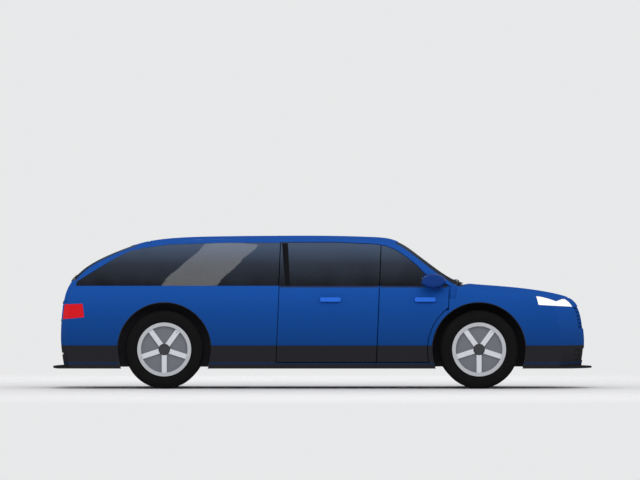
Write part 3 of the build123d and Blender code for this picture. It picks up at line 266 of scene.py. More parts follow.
def headlamp_material():
    """A bright reflector with upright flutes under a clear cover."""
    g = Graph("headlamp_reflector")
    lines = g.math("ADD", g.wave(g.axis("X"), 520.0), g.wave(g.axis("Y"), 520.0))
    g.set(Base_Color=g.blend(lines, srgb(250, 243, 232), srgb(255, 253, 249), -2.0, 2.0), Roughness=0.25,
          Coat_Weight=0.5, Coat_Roughness=0.02, Emission_Strength=0.16, Emission_Color=srgb(255, 246, 232))
    return g.bump(lines, 0.35, 0.0006)


def tail_lamp_material():
    """Red lens with a fine prism grid."""
    g = Graph("tail_lamp_lens")
    prisms = g.product(*[g.math("ABSOLUTE", g.wave(g.axis(axis), 400.0)) for axis in "ZX"])
    g.set(Base_Color=g.blend(prisms, srgb(196, 6, 20), srgb(222, 14, 30), 0.0, 1.0), Roughness=0.2,
          Coat_Weight=g.facing_share(0.3), Coat_Roughness=0.02, Specular_IOR_Level=0.0)
    return g.bump(prisms, 0.3, 0.0008)


def rim_material(axle_x):
    """Machined spokes over a grey dish, with a brushed outer ring and a dark hub cap."""
    g = Graph("alloy_wheel")
    out = g.math("SUBTRACT", g.math("ABSOLUTE", g.axis("Y")), WHEEL_Y)
    radius = g.distance(g.math("SUBTRACT", g.axis("X"), axle_x), g.math("SUBTRACT", g.axis("Z"), AXLE_Z))
    turning = g.wave(radius, 9000.0)
    fine = g.noise(420, 3.0)
    in_ring = g.step(radius, RING_RADIUS)
    dish = g.blend(fine, srgb(104, 107, 114), srgb(115, 118, 125))
    spoke = g.blend(fine, srgb(208, 211, 218), srgb(214, 217, 223))
    colour = g.mix(g.step(out, SPOKE_FACE), dish, spoke)
    colour = g.mix(in_ring, colour, g.blend(turning, srgb(180, 182, 187), srgb(188, 190, 195), -1.0, 1.0))
    on_cap = g.product(g.rest_of(g.step(radius, CAP_RADIUS)), g.step(out, CAP_FACE))
    colour = g.mix(on_cap, colour, g.blend(fine, srgb(44, 45, 50), srgb(50, 51, 56)))
    g.set(Base_Color=colour, Roughness=g.mix_value(in_ring, 0.42, 0.32), Metallic=0.35, Coat_Weight=0.3,
          Coat_Roughness=0.1)
    return g.bump(turning, 0.05, 0.0002)


def tyre_material():
    """Black rubber whose colour and roughness vary a little with noise."""
    g = Graph("tyre_rubber")
    fine = g.noise(700, 4.0)
    colour = g.blend(fine, srgb(15, 15, 16), srgb(22, 22, 23))
    colour = g.blend(g.noise(9), colour, srgb(27, 26, 26), 0.4, 0.7, 0.25)
    g.set(Base_Color=colour, Roughness=g.map_range(fine, 0.2, 0.8, 0.68, 0.85), Specular_IOR_Level=0.05)
    return g.bump(fine, 0.25, 0.0004)


def fabric_material(name, colour, second, weave=1100.0):
    """Woven seat cloth with a soft sheen."""
    g = Graph(name)
    cloth = g.product(g.wave(g.math("ADD", g.axis("X"), g.axis("Z")), weave), g.wave(g.axis("Y"), weave))
    base = g.blend(g.noise(35, 3.0), g.blend(cloth, colour, second, -1.0, 1.0), second, 0.35, 0.7, 0.3)
    g.set(Base_Color=base, Roughness=0.92, Sheen_Weight=0.35, Sheen_Roughness=0.4, Specular_IOR_Level=0.2)
    return g.bump(cloth, 0.35, 0.0005)


def leather_material(name, colour, second):
    """Grained leather or soft-touch moulding."""
    g = Graph(name)
    cells = g.node("ShaderNodeTexVoronoi", {"Scale": 420, "Vector": g.place()}, feature="DISTANCE_TO_EDGE")
    grain = g.map_range(cells.outputs["Distance"], 0.0, 0.35)
    g.set(Base_Color=g.mix(grain, colour, second), Roughness=g.mix_value(grain, 0.7, 0.5))
    return g.bump(grain, 0.3, 0.0004)


def metal_material(name, colour, second, scale=180, roughness=0.45, metallic=0.9):
    """Cast or rolled metal, with patches of tarnish."""
    g = Graph(name)
    cast = g.noise(scale, 4.0)
    base = g.blend(g.noise(7, 3.0), g.blend(cast, colour, second), srgb(70, 58, 50), 0.5, 0.75, 0.35)
    g.set(Base_Color=base, Roughness=g.map_range(cast, 0.2, 0.8, roughness - 0.1, roughness + 0.15),
          Metallic=metallic)
    return g.bump(cast, 0.4, 0.0008)


PAINT = paint_and_cladding("car_paint")
SIDE_PAINT = paint_and_cladding("car_paint_and_pillars", windows=True, trim=True)
DOOR_PAINT = paint_and_cladding("car_paint_on_doors", trim=True)
# Glass colours at the top and at the foot; the lighter top is a painted sky reflection.
GLASS_SIDE = glass_material("tinted_glass", 0.96, srgb(66, 80, 103), srgb(5, 5, 12))
GLASS_SCREEN = glass_material("screen_glass", 0.72, srgb(58, 70, 84), srgb(28, 32, 42), 0.98, 1.40)
HEADLAMP = headlamp_material()
TAIL_LAMP = tail_lamp_material()
BLACK_PLASTIC = plain("black_plastic", srgb(24, 24, 27), srgb(34, 34, 37), 850, 0.55, bump=0.3)
GLOSS_BLACK = plain("gloss_black_trim", srgb(16, 17, 20), srgb(19, 20, 23), 300, 0.25, Coat_Weight=0.08,
                    Specular_IOR_Level=0.0)
RUBBER = plain("seal_rubber", srgb(16, 16, 18), srgb(24, 24, 26), 600, 0.8, bump=0.15)
UNDERBODY = plain("underbody", srgb(44, 44, 48), srgb(56, 56, 60), 90, 0.85, bump=0.5, depth=0.001,
                  Specular_IOR_Level=0.1)
# The body's blue made lighter on the handles: a painted highlight.
HANDLE = plain("handle_paint", srgb(36, 101, 208), srgb(44, 108, 216), 1800, 0.28, Coat_Weight=0.2,
               Specular_IOR_Level=0.0)
# The body's blue made darker on the mirror shells: painted shade.
MIRROR_SHELL = plain("mirror_shell_paint", srgb(14, 50, 116), srgb(20, 56, 124), 1800, 0.3, Coat_Weight=0.15,
                     Specular_IOR_Level=0.0)
MIRROR_GLASS = plain("mirror_glass", srgb(200, 205, 212), srgb(208, 213, 220), 60, 0.06, metallic=1.0,
                     bump=0.0)
CAST_IRON = metal_material("cast_iron", srgb(62, 63, 66), srgb(84, 85, 88))
STEEL = metal_material("painted_steel", srgb(44, 45, 48), srgb(62, 63, 66), 240, 0.5, 0.7)
TYRE = tyre_material()
SEAT_CLOTH = fabric_material("seat_cloth", srgb(46, 48, 54), srgb(64, 66, 73))
SEAT_SIDE = leather_material("seat_leather", srgb(30, 31, 35), srgb(42, 43, 48))
THREAD = plain("seat_thread", srgb(120, 124, 132), srgb(140, 144, 152), 900, 0.8)
SOFT_DASH = leather_material("soft_dash", srgb(34, 35, 39), srgb(48, 49, 54))
SILVER = plain("satin_silver", srgb(150, 153, 158), srgb(165, 168, 172), 500, 0.35, metallic=0.8)
RED_STRIP = plain("red_strip", srgb(180, 14, 24), srgb(200, 20, 30), 400, 0.25, Coat_Weight=1.0)
PALE_TRIM = plain("pale_trim", srgb(232, 233, 232), srgb(242, 242, 240), 500, 0.4)
NUT_STEEL = plain("nut_steel", srgb(92, 94, 99), srgb(104, 106, 111), 700, 0.4, metallic=0.6)
RADIATOR_FINS = plain("radiator_fins", srgb(30, 31, 33), srgb(48, 49, 52), 260, 0.6, metallic=0.4, bump=0.6)
SCREEN_OFF = plain("dark_display", srgb(14, 16, 20), srgb(18, 20, 26), 12, 0.12, bump=0.0)
LINING = fabric_material("lining_cloth", srgb(96, 98, 103), srgb(116, 118, 122), 1500)
CARPET = plain("carpet", srgb(30, 31, 35), srgb(50, 51, 56), 700, 0.95, bump=1.0, depth=0.002,
               Specular_IOR_Level=0.1)
TANK_WHITE = plain("tank_plastic", srgb(206, 208, 204), srgb(216, 217, 212), 120, 0.5)

# What each kind of CAD node is made of, apart from its side
NODE_MATERIALS = {
    "bonnet": PAINT, "front_bumper": PAINT, "rear_bumper": PAINT, "roof_panel": PAINT, "tailgate": PAINT,
    "front_wings": PAINT, "body_side": SIDE_PAINT, "door_front": DOOR_PAINT, "door_rear": DOOR_PAINT,
    "grille": PAINT, "windscreen": GLASS_SCREEN, "rear_window": GLASS_SIDE, "quarter_windows": GLASS_SIDE,
    "door_glass_front": GLASS_SIDE, "door_glass_rear": GLASS_SIDE, "headlamps": HEADLAMP,
    "tail_lamps": TAIL_LAMP, "handle_front": HANDLE, "handle_rear": HANDLE, "mirror": MIRROR_SHELL,
    "floor_pan": UNDERBODY, "dashboard": SOFT_DASH, "steering_wheel": SOFT_DASH, "seats": SEAT_CLOTH,
    "front_suspension": STEEL, "rear_suspension": STEEL, "knuckle": CAST_IRON, "engine_block": CAST_IRON,
    "exhaust": STEEL, "tyre_front": TYRE, "tyre_rear": TYRE,
    "rim_front": rim_material(FRONT_AXLE_X), "rim_rear": rim_material(REAR_AXLE_X),
}
SMOOTH_ANGLE, BLOCK_SMOOTH_ANGLE = math.radians(28), math.radians(40)
LEAST_RADIUS = 0.0001


# ---------------------------------------------------------------- smooth shading of the CAD nodes
def smoothing_group():
    """Joins a CAD mesh's split corners and shades it smooth, apart from its real edges."""
    group = bpy.data.node_groups.new("smooth_by_angle", "GeometryNodeTree")
    for direction in ("INPUT", "OUTPUT"):
        group.interface.new_socket("Geometry", in_out=direction, socket_type="NodeSocketGeometry")
    start, merge, faces, edges, end, angle, sharp = [group.nodes.new(kind) for kind in (
        "NodeGroupInput", "GeometryNodeMergeByDistance", "GeometryNodeSetShadeSmooth",
        "GeometryNodeSetShadeSmooth", "NodeGroupOutput", "GeometryNodeInputMeshEdgeAngle",
        "FunctionNodeCompare",
    )]
    merge.inputs["Distance"].default_value = 2e-5
    faces.domain = "FACE"
    edges.domain = "EDGE"
    edges.inputs["Shade Smooth"].default_value = False
    sharp.data_type = "FLOAT"
    sharp.operation = "GREATER_THAN"
    sharp.inputs[1].default_value = SMOOTH_ANGLE
    for source, target in (
        (start.outputs[0], merge.inputs["Geometry"]), (merge.outputs[0], faces.inputs["Geometry"]),
        (faces.outputs[0], edges.inputs["Geometry"]), (edges.outputs[0], end.inputs[0]),
        (angle.outputs["Unsigned Angle"], sharp.inputs[0]), (sharp.outputs[0], edges.inputs["Selection"]),
    ):
        group.links.new(source, target)
    return group


SMOOTHING = smoothing_group()
for name, obj in NODES.items():
    kind = name.removesuffix("_left").removesuffix("_right")
    obj.data.materials.clear()
    obj.data.materials.append(NODE_MATERIALS[kind])
    if "custom_normal" in obj.data.attributes:
        obj.data.attributes.remove(obj.data.attributes["custom_normal"])
    obj.modifiers.new("smooth_by_angle", "NODES").node_group = SMOOTHING


# ---------------------------------------------------------------- building pieces
def in_scene(name, data):
    """A new object in the scene."""
    obj = bpy.data.objects.new(name, data)
    bpy.context.scene.collection.objects.link(obj)
    return obj


def mesh_of(name, work):
    """A finished bmesh as a mesh."""
    mesh = bpy.data.meshes.new(name)
    work.to_mesh(mesh)
    work.free()
    return mesh


def finish_piece(obj, body):
    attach(obj, body)
    return obj


def add_piece(name, mesh, material, body="body", sharp_angle=SMOOTH_ANGLE):
    """A mesh as a piece; it is shaded smooth up to the sharp angle, or flat if that is None."""
    mesh.materials.append(material)
    for polygon in mesh.polygons:
        polygon.use_smooth = sharp_angle is not None
    if sharp_angle is not None:
        mesh.set_sharp_from_angle(angle=sharp_angle)
    return finish_piece(in_scene(name, mesh), body)


def mesh_piece(name, points, faces, material, body="body", sharp_angle=SMOOTH_ANGLE):
    """A piece from points and faces, with its normals made to agree."""
    mesh = bpy.data.meshes.new(name)
    mesh.from_pydata([tuple(p) for p in points], [], faces)
    work = bmesh.new()
    work.from_mesh(mesh)
    bmesh.ops.remove_doubles(work, verts=work.verts, dist=1e-6)
    bmesh.ops.recalc_face_normals(work, faces=work.faces)
    work.to_mesh(mesh)
    work.free()
    return add_piece(name, mesh, material, body, sharp_angle)


def circle(radius, count):
    """Points (x, y) round the origin."""
    turns = [math.tau * k / count for k in range(count)]
    return [(radius * math.cos(turn), radius * math.sin(turn)) for turn in turns]


def ring_faces(rings, count, closed=True):
    """Faces between rings of count points each; a row of rings that is open gets its two ends."""
    faces = []
    for i in range(rings if closed else rings - 1):
        j = (i + 1) % rings
        for k in range(count):
            m = (k + 1) % count
            faces.append((i * count + k, j * count + k, j * count + m, i * count + m))
    if not closed:
        faces += [tuple(range(count)), tuple(range((rings - 1) * count, rings * count))]
    return faces


def joined_rings(name, rings, material, body="body", closed=False, sharp_angle=SMOOTH_ANGLE):
    points = [p for ring in rings for p in ring]
    faces = ring_faces(len(rings), len(rings[0]), closed)
    return mesh_piece(name, points, faces, material, body, sharp_angle)


def lathe(name, profile, matrix, material, count=48, body="body"):
    """A profile of (radius, height) turned round local Z and placed by a matrix; radius 0 is a tiny one."""
    profile = [(max(radius, LEAST_RADIUS), height) for radius, height in profile]
    rings = [[matrix @ Vector((r * x, r * y, h)) for r, h in profile] for x, y in circle(1.0, count)]
    return joined_rings(name, rings, material, body, closed=True)


def block(name, low, high, material, bevel, taper=1.0, turn=None, body="body"):
    """A moulded block with rounded edges; taper narrows its top, and turn places it."""
    low, high = Vector(low), Vector(high)
    centre = (low + high) / 2
    work = bmesh.new()
    bmesh.ops.create_cube(work, size=1.0)
    for v in work.verts:
        wide = taper if v.co.z > 0 else 1.0
        v.co = centre + v.co * (high - low) * Vector((wide, wide, 1.0))
    bmesh.ops.bevel(work, geom=work.edges[:], offset=bevel, segments=3, profile=0.6, affect="EDGES",
                    clamp_overlap=True)
    mesh = mesh_of(name, work)
    if turn is not None:
        mesh.transform(turn)
    return add_piece(name, mesh, material, body, sharp_angle=BLOCK_SMOOTH_ANGLE)


def along(points, spacing):
    """Points along a polyline, no further apart than spacing."""
    out = [Vector(points[0])]
    for a, b in zip(points, points[1:]):
        a, b = Vector(a), Vector(b)
        count = max(1, math.ceil((b - a).length / spacing))
        out += [a.lerp(b, (i + 1) / count) for i in range(count)]
    return out


def with_tangents(points, closed):
    """Each point of a polyline with the direction of the line there."""
    last = len(points) - 1
    for i, point in enumerate(points):
        before = points[i - 1] if closed or i else points[0]
        after = points[(i + 1) % (last + 1)] if closed or i < last else points[last]
        yield point, (after - before).normalized()


def tube(name, points, radius, material, sides=12, body="body", closed=False):
    """A round bar or seal along a polyline."""
    rings, normal = [], None
    for point, tangent in with_tangents([Vector(p) for p in points], closed):
        if normal is None:
            normal = tangent.orthogonal().normalized()
        normal = (normal - tangent * normal.dot(tangent)).normalized()
        other = tangent.cross(normal)
        rings.append([point + normal * u + other * v for u, v in circle(radius, sides)])
    return joined_rings(name, rings, material, body, closed=closed)


def axes(x_axis, z_axis, origin):
    """A placing matrix from its X and Z axes."""
    x, z = Vector(x_axis).normalized(), Vector(z_axis).normalized()
    return Matrix.Translation(origin) @ Matrix((x, z.cross(x), z)).transposed().to_4x4()


def upright(origin):
    return Matrix.Translation(origin)


def facing_rear(origin):
    """Local +Z towards the tail and local +X to the left."""
    return axes((0, 1, 0), (-1, 0, 0), origin)


def tilted(origin, degrees):
    """Turned about Y, its front down by the degrees."""
    return Matrix.Translation(origin) @ Matrix.Rotation(math.radians(degrees), 4, "Y")


# ---------------------------------------------------------------- following the CAD surfaces
def mesh_tree(*meshes):
    """A search tree over the faces of some meshes."""
    points, faces = [], []
    for mesh in meshes:
        start = len(points)
        points += [v.co.copy() for v in mesh.vertices]
        faces += [[start + i for i in polygon.vertices] for polygon in mesh.polygons]
    return BVHTree.FromPolygons(points, faces)


class Surface:
    """Places on the outside of some CAD nodes, found along one direction of view from a start on its axis."""

    def __init__(self, names, direction, start):
        self.tree = mesh_tree(*[NODES[name].data for name in names])
        self.direction = Vector(direction)
        self.start = start
        self.axis = max(range(3), key=lambda i: abs(self.direction[i]))

    def at(self, u, v, lift=0.0):
        """The point at (u, v), the two coordinates across the direction, lifted off the surface."""
        origin = [u, v]
        origin.insert(self.axis, self.start)
        hit, normal, _, _ = self.tree.ray_cast(Vector(origin), self.direction)
        if hit is None:
            return None
        if normal.dot(self.direction) > 0:
            normal = -normal
        return hit + normal * lift


def strip_on(name, surface, line, width, height, material, body="body", spacing=0.03, closed=False):
    """A moulding of flattened section that follows a surface; line is in the surface's own coordinates."""
    points = along(line + line[:1] if closed else line, spacing)
    if closed:
        points = points[:-1]
    section = [(-0.5, 0.05), (-0.42, 0.75), (-0.2, 1.0), (0.2, 1.0), (0.42, 0.75), (0.5, 0.05)]
    rings = []
    for point, tangent in with_tangents(points, closed):
        across = Vector((-tangent.y, tangent.x)) * width
        places = [(point + across * side, up * height) for side, up in section]
        ring = [surface.at(place.x, place.y, lift) for place, lift in places]
        if None not in ring:
            rings.append(ring)
    return joined_rings(name, rings, material, body, closed=closed)


def rectangle(low, high):
    return [low, (high[0], low[1]), high, (low[0], high[1])]


def shell_faces(columns, rows):
    """Faces of two sheets of points, outer first, and of the walls between their edges."""
    size, row = (columns + 1) * (rows + 1), columns + 1
    faces = []
    for j in range(rows):
        for i in range(columns):
            k = j * row + i
            faces.append((k, k + 1, k + row + 1, k + row))
            faces.append((size + k, size + k + row, size + k + row + 1, size + k + 1))
    border = [(i, 0) for i in range(columns)] + [(columns, j) for j in range(rows)]
    border += [(i, rows) for i in range(columns, 0, -1)] + [(0, j) for j in range(rows, 0, -1)]
    ring = [j * row + i for i, j in border]
    faces += [(k, m, size + m, size + k) for k, m in zip(ring, ring[1:] + ring[:1])]
    return faces


def patch_on(name, surface, corners, height, material, steps, body="body"):
    """A thin raised panel on a surface, over a four-cornered area."""
    a, b, c, d = [Vector(corner) for corner in corners]
    columns, rows = steps
    top, low = [], []
    for j in range(rows + 1):
        for i in range(columns + 1):
            u, v = i / columns, j / rows
            place = a.lerp(b, u).lerp(d.lerp(c, u), v)
            inner = 0 < i < columns and 0 < j < rows
            top.append(surface.at(place.x, place.y, height if inner else height * 0.6))
            low.append(surface.at(place.x, place.y, 0.0003))
    if None in top:
        raise ValueError(f"{name} lies off its surface")
    return mesh_piece(name, top + low, shell_faces(columns, rows), material, body)


# ---------------------------------------------------------------- tyres
PITCHES = 64                        # blocks round the tread
BLOCK_STEPS = (0.0, 0.10, 0.14, 0.86, 0.90)     # a sipe, then the face of a block
GROOVES = (0.062, 0.030)            # across from the middle, besides the one there
GROOVE_DEPTH, GROOVE_HALF = 0.0055, 0.0045
SIPE_DEPTH = 0.0045
TREAD_EDGE = 0.070


def tyre_profile():
    """(radius, offset across, share of a sipe's depth, row) round the section, outer face first."""
    half, r = TYRE_HALF_WIDTH, TYRE_RADIUS
    bead = [(-0.012, 0.1025), (0.001, 0.1025), (0.007, 0.1072), (0.012, 0.1105), (0.0145, 0.1095),
            (0.018, 0.1122), (0.026, 0.1140)]
    wall = [(0.034, 0.0018), (0.036, 0.0030), (0.038, 0.0014), (0.052, 0.0008), (0.066, 0.0016),
            (0.068, 0.0030), (0.070, 0.0024)]
    points = [(RIM_EDGE + out, y, 0.0, 0) for out, y in bead]
    points += [(RIM_EDGE + out, half - inset, 0.0, 0) for out, inset in wall]
    points += [(r - 0.036, half - 0.0058, 0.0, 0), (r - 0.024, half - 0.0115, 0.0, 0)]
    shoulder = [(0.0150, 0.0180), (0.0080, 0.0260), (0.0045, 0.0310)]
    points += [(r - low, half - inset, 0.8, 1) for low, inset in shoulder]
    points += [(r - 0.0022, 0.0770, 1.0, 2), (r - 0.0012, TREAD_EDGE, 1.0, 2)]
    for at in GROOVES:
        top = r - 0.0012 * (at / TREAD_EDGE) ** 2
        points += [
            (top, at + GROOVE_HALF + 0.0006, 1.0, 2), (top - GROOVE_DEPTH, at + GROOVE_HALF - 0.0012, 0.0, 2),
            (top - GROOVE_DEPTH, at - GROOVE_HALF + 0.0012, 0.0, 2), (top, at - GROOVE_HALF - 0.0006, 1.0, 3),
            (r - 0.0003, at - 0.016, 1.0, 3),
        ]
    points += [(r, GROOVE_HALF + 0.0006, 1.0, 3), (r - GROOVE_DEPTH, GROOVE_HALF - 0.0012, 0.0, 3)]
    return points + [(radius, -y, share, row) for radius, y, share, row in reversed(points)]


def tyre_rings():
    """Sections of a tyre round the Y axis, centred on the origin, with blocks cut by slanted sipes."""
    rings, profile = [], tyre_profile()
    for pitch in range(PITCHES):
        for k, at in enumerate(BLOCK_STEPS):
            ring = []
            for radius, y, share, row in profile:
                slant = 0.35 * abs(y) / 0.09 + (0.5 if row == 3 else 0.0)
                turn = math.tau * (pitch + at + slant) / PITCHES
                r = radius - (SIPE_DEPTH * share if k < 2 and row else 0.0)
                ring.append(Vector((r * math.cos(turn), y, r * math.sin(turn))))
            rings.append(ring)
    return rings


TYRE_RINGS = tyre_rings()
for axle, axle_x in (("front", FRONT_AXLE_X), ("rear", REAR_AXLE_X)):
    for side, sign in SIDES:
        centre = Vector((axle_x, sign * WHEEL_Y, AXLE_Z))
        rings = [[centre + p for p in ring] for ring in TYRE_RINGS]
        tread = joined_rings(f"treaded_tyre_{axle}_{side}", rings, TYRE, f"{axle}_wheel_{side}", closed=True)
        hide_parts(f"tyre_{axle}_{side}")


# ---------------------------------------------------------------- window trim
MID_SEAM, REAR_SEAM, BELT_FRONT = 0.537, -0.413, 1.176      # door gaps at the belt, and the belt's front end
SEAL_GAP = 0.012
SEAL_Z = BELT - 0.010


def side_surface(sign, name):
    return Surface((name,), (0, -sign, 0), sign * 2.0)


for side, sign in SIDES:
    patch_on(f"pillar_strip_{side}", side_surface(sign, f"door_glass_rear_{side}"),
             [(-0.351, 0.972), (-0.306, 0.972), (-0.327, 1.371), (-0.383, 1.371)],
             0.0015, GLOSS_BLACK, (4, 14), f"rear_door_{side}")
    for door, rear_x, front_x in (
        ("front", MID_SEAM + SEAL_GAP, BELT_FRONT), ("rear", REAR_SEAM + SEAL_GAP, MID_SEAM - SEAL_GAP),
    ):
        strip_on(f"belt_seal_{door}_{side}", side_surface(sign, f"door_{door}_{side}"),
                 [(rear_x, SEAL_Z), (front_x, SEAL_Z)], 0.010, 0.0022, RUBBER, f"{door}_door_{side}")


# ---------------------------------------------------------------- wheels and arches
ARCH_RADIUS, LINER_FOOT = 0.446, 0.205
LINER_RADIUS = ARCH_RADIUS - 0.0015
LINER_THICKNESS, LINER_RIB = 0.005, 0.003
LINER_INNER_Y = 0.70
HUB_FACE = 0.074                # the rim's face, outwards from the wheel's middle
NUT_CIRCLE, VALVE_CIRCLE = 0.082, 0.196
CAP_RING_Y = 0.1038
# Each nut's seat and its hexagon, as (radius at the foot and head, foot, head, sides)
NUT_PARTS = ((0.0155, 0.0150, 0.0, 0.0016, 24), (0.0098, 0.0092, 0.0014, 0.0105, 6))


def arch_liner(name, axle_x, sign, lip_y):
    """A ribbed shell inside a wheel arch, from the arch's lip to the inner wall."""
    low = math.asin((LINER_FOOT - AXLE_Z) / ARCH_RADIUS)
    columns, rows = 14, 96
    points = []
    for thickness in (0.0, LINER_THICKNESS):
        for i in range(rows + 1):
            turn = low + (math.pi - 2 * low) * i / rows
            rib = LINER_RIB if i % 12 in (0, 1) else 0.0
            for j in range(columns + 1):
                y = lip_y + (LINER_INNER_Y - lip_y) * j / columns
                r = LINER_RADIUS - thickness - (rib if 2 < j < columns else 0.0)
                points.append((axle_x + r * math.cos(turn), sign * y, AXLE_Z + r * math.sin(turn)))
    mesh_piece(name, points, shell_faces(columns, rows), BLACK_PLASTIC)


def outward(axle_x, sign, y, turn=0.0, reach=0.0):
    """Local +Z along the axle, out of the car; reach and turn place a point on the wheel's face."""
    x, z = axle_x + reach * math.cos(turn), AXLE_Z + reach * math.sin(turn)
    return upright((x, sign * (WHEEL_Y + y), z)) @ Matrix.Rotation(math.radians(-90 * sign), 4, "X")


def wheel_nuts(name, axle_x, sign, body):
    """Five hexagonal nuts in their recesses, as one mesh."""
    work = bmesh.new()
    for k in range(5):
        place = outward(axle_x, sign, HUB_FACE, math.radians(90 + 36 + 72 * k), NUT_CIRCLE)
        for foot_radius, head_radius, foot, head, sides in NUT_PARTS:
            middle = place @ upright((0, 0, (foot + head) / 2))
            bmesh.ops.create_cone(work, cap_ends=True, segments=sides, radius1=foot_radius,
                                  radius2=head_radius, depth=head - foot, matrix=middle)
    add_piece(name, mesh_of(name, work), NUT_STEEL, body, sharp_angle=None)


for axle, axle_x, lip_y in (("front", FRONT_AXLE_X, 0.906), ("rear", REAR_AXLE_X, 0.915)):
    for side, sign in SIDES:
        wheel = f"{axle}_wheel_{side}"
        arch_liner(f"arch_liner_{axle}_{side}", axle_x, sign, lip_y)
        wheel_nuts(f"wheel_nuts_{axle}_{side}", axle_x, sign, wheel)
        lathe(f"valve_{axle}_{side}",
              [(0, 0), (0.0050, 0), (0.0046, 0.014), (0.0034, 0.018), (0.0034, 0.028), (0, 0.029)],
              outward(axle_x, sign, HUB_FACE, math.radians(54), VALVE_CIRCLE), RUBBER, 16, wheel)
        lathe(f"hub_cap_ring_{axle}_{side}", [(0.0440, 0), (0.0465, 0), (0.0465, 0.0012), (0.0440, 0.0012)],
              outward(axle_x, sign, CAP_RING_Y), BLACK_PLASTIC, body=wheel)


# ---------------------------------------------------------------- front: lamps, grille and intake
LAMP_Z = 0.812
PROJECTORS = ((0.515, 0.024), (0.605, 0.024), (0.695, 0.020))     # distance from the middle, radius
RIB_HALF_WIDTH, RIB_DEPTH, RIB_SETBACK, RIB_STEPS = 0.0022, 0.030, 0.004, 6
MESH_SETBACK, MESH_CELL, MESH_BAR, MESH_STEPS = 0.020, 0.022, 0.0022, 12


def nose_bow(y):
    """The nose's x at a distance from the middle, as a share of its x in the middle."""
    return 1 - 0.105 * (y / 0.94) ** 2


def mesh_panel(name, half_y, profile):
    """A mesh of crossing flat bars behind the ribs, bowed and leaning like the nose."""
    low, high = profile[0][1], profile[-1][1]

    def place(y, z):
        i = min(int((z - low) / (high - low) * RIB_STEPS), RIB_STEPS - 1)
        (x, z_0), (next_x, z_1) = profile[i:i + 2]
        return Vector(((x + (next_x - x) * (z - z_0) / (z_1 - z_0) - MESH_SETBACK) * nose_bow(y), y, z))

    points, faces = [], []
    for direction, depth in ((1, 0.003), (-1, 0.0045)):
        back = Vector((-depth, 0, 0))
        start = -half_y - (high - low)
        while start < half_y + (high - low):
            rings = []
            for i in range(MESH_STEPS + 1):
                z = low + (high - low) * i / MESH_STEPS
                y = start + direction * (z - low)
                if -half_y <= y <= half_y:
                    a, b = place(y - MESH_BAR, z), place(y + MESH_BAR, z)
                    rings.append([a, b, b + back, a + back])
            if len(rings) > 1:
                sides = ring_faces(len(rings), 4, closed=False)[:-2]
                faces += [[len(points) + k for k in face] for face in sides]
                points += [p for ring in rings for p in ring]
            start += MESH_CELL
    mesh_piece(name, points, faces, BLACK_PLASTIC, sharp_angle=None)


def nose_rib(name, y, profile, material):
    """An upright rib whose front edge follows the nose; profile holds (x in the middle, z) upwards."""
    rings = []
    for middle_x, z in profile:
        front = middle_x * nose_bow(y)
        corners = rectangle((front, y - RIB_HALF_WIDTH), (front - RIB_DEPTH, y + RIB_HALF_WIDTH))
        rings.append([Vector((x, side_y, z)) for x, side_y in corners])
    joined_rings(name, rings, material, sharp_angle=None)


front_lamps = Surface(("headlamps",), (-1, 0, 0), 3.0)
for side, sign in SIDES:
    for k, (lamp_y, radius) in enumerate(PROJECTORS):
        ring = [(sign * lamp_y + y, LAMP_Z + z) for y, z in circle(radius, 28)]
        strip_on(f"projector_ring_{side}_{k}", front_lamps, ring, 0.006, 0.0008, PALE_TRIM, spacing=0.02,
                 closed=True)
nose = Surface(("front_bumper",), (-1, 0, 0), 3.5)
for name, half_y, low, high, beside_y, material in (
    ("grille", 0.390, 0.566, 0.764, 0.425, PAINT), ("intake", 0.540, 0.268, 0.366, 0.590, BLACK_PLASTIC),
):
    levels = [low + (high - low) * i / RIB_STEPS for i in range(RIB_STEPS + 1)]
    profile = [(nose.at(beside_y, z).x / nose_bow(beside_y) - RIB_SETBACK, z) for z in levels]
    mesh_panel(f"{name}_mesh", half_y, profile)
    for k in range(-3, 4):
        nose_rib(f"{name}_rib_{k + 3}", half_y * k / 3.5, profile, material)
block("radiator", (2.205, -0.335, 0.43), (2.235, 0.335, 0.755), RADIATOR_FINS, 0.004)
block("lower_radiator", (2.330, -0.46, 0.235), (2.350, 0.46, 0.395), RADIATOR_FINS, 0.004)


# ---------------------------------------------------------------- mirrors and wipers
def wiper(name, surface, pivot, tip, ends, body, lift):
    """An arm from its pivot to the middle of a blade that lies on the glass between its ends."""
    places = along(ends, 0.05)
    blade = [p for p in (surface.at(*place, 0.004) for place in places) if p]
    spine = [p for p in (surface.at(*place, lift) for place in places) if p]
    middle = (Vector(ends[0]) + Vector(ends[1])) / 2
    arm = [surface.at(*pivot), surface.at(*tip), surface.at(*middle, lift + 0.004)]
    tube(f"{name}_blade", blade, 0.0035, RUBBER, 8, body)
    tube(f"{name}_spine", spine[1:-1], 0.0028, BLACK_PLASTIC, 8, body)
    tube(f"{name}_arm", along(arm, 0.05), 0.0050, BLACK_PLASTIC, 8, body)


for side, sign in SIDES:
    body = f"front_door_{side}"
    behind = Surface((f"mirror_{side}",), (1, 0, 0), 0.0)
    corners = [(sign * 0.944, 0.989), (sign * 1.050, 0.992), (sign * 1.048, 1.043), (sign * 0.946, 1.045)]
    patch_on(f"mirror_glass_{side}", behind, corners, 0.0016, MIRROR_GLASS, (10, 8), body)
    strip_on(f"mirror_bezel_{side}", behind, corners, 0.005, 0.0024, BLACK_PLASTIC, body, spacing=0.012,
             closed=True)
screen = Surface(("windscreen",), (0, 0, -1), 3.0)
tail = Surface(("rear_window", "tailgate"), (1, 0, 0), -3.5)
wiper("wiper_right", screen, (1.296, -0.42, 0.003), (1.286, -0.40, 0.011), [(1.268, -0.64), (1.292, -0.08)],
      "body", 0.007)
wiper("wiper_left", screen, (1.296, 0.08, 0.003), (1.286, 0.10, 0.011), [(1.268, 0.02), (1.250, 0.56)],
      "body", 0.007)
wiper("rear_wiper", tail, (0.0, 1.008, 0.003), (0.02, 1.030, 0.008), [(0.02, 1.045), (0.33, 1.075)],
      "tailgate", 0.006)

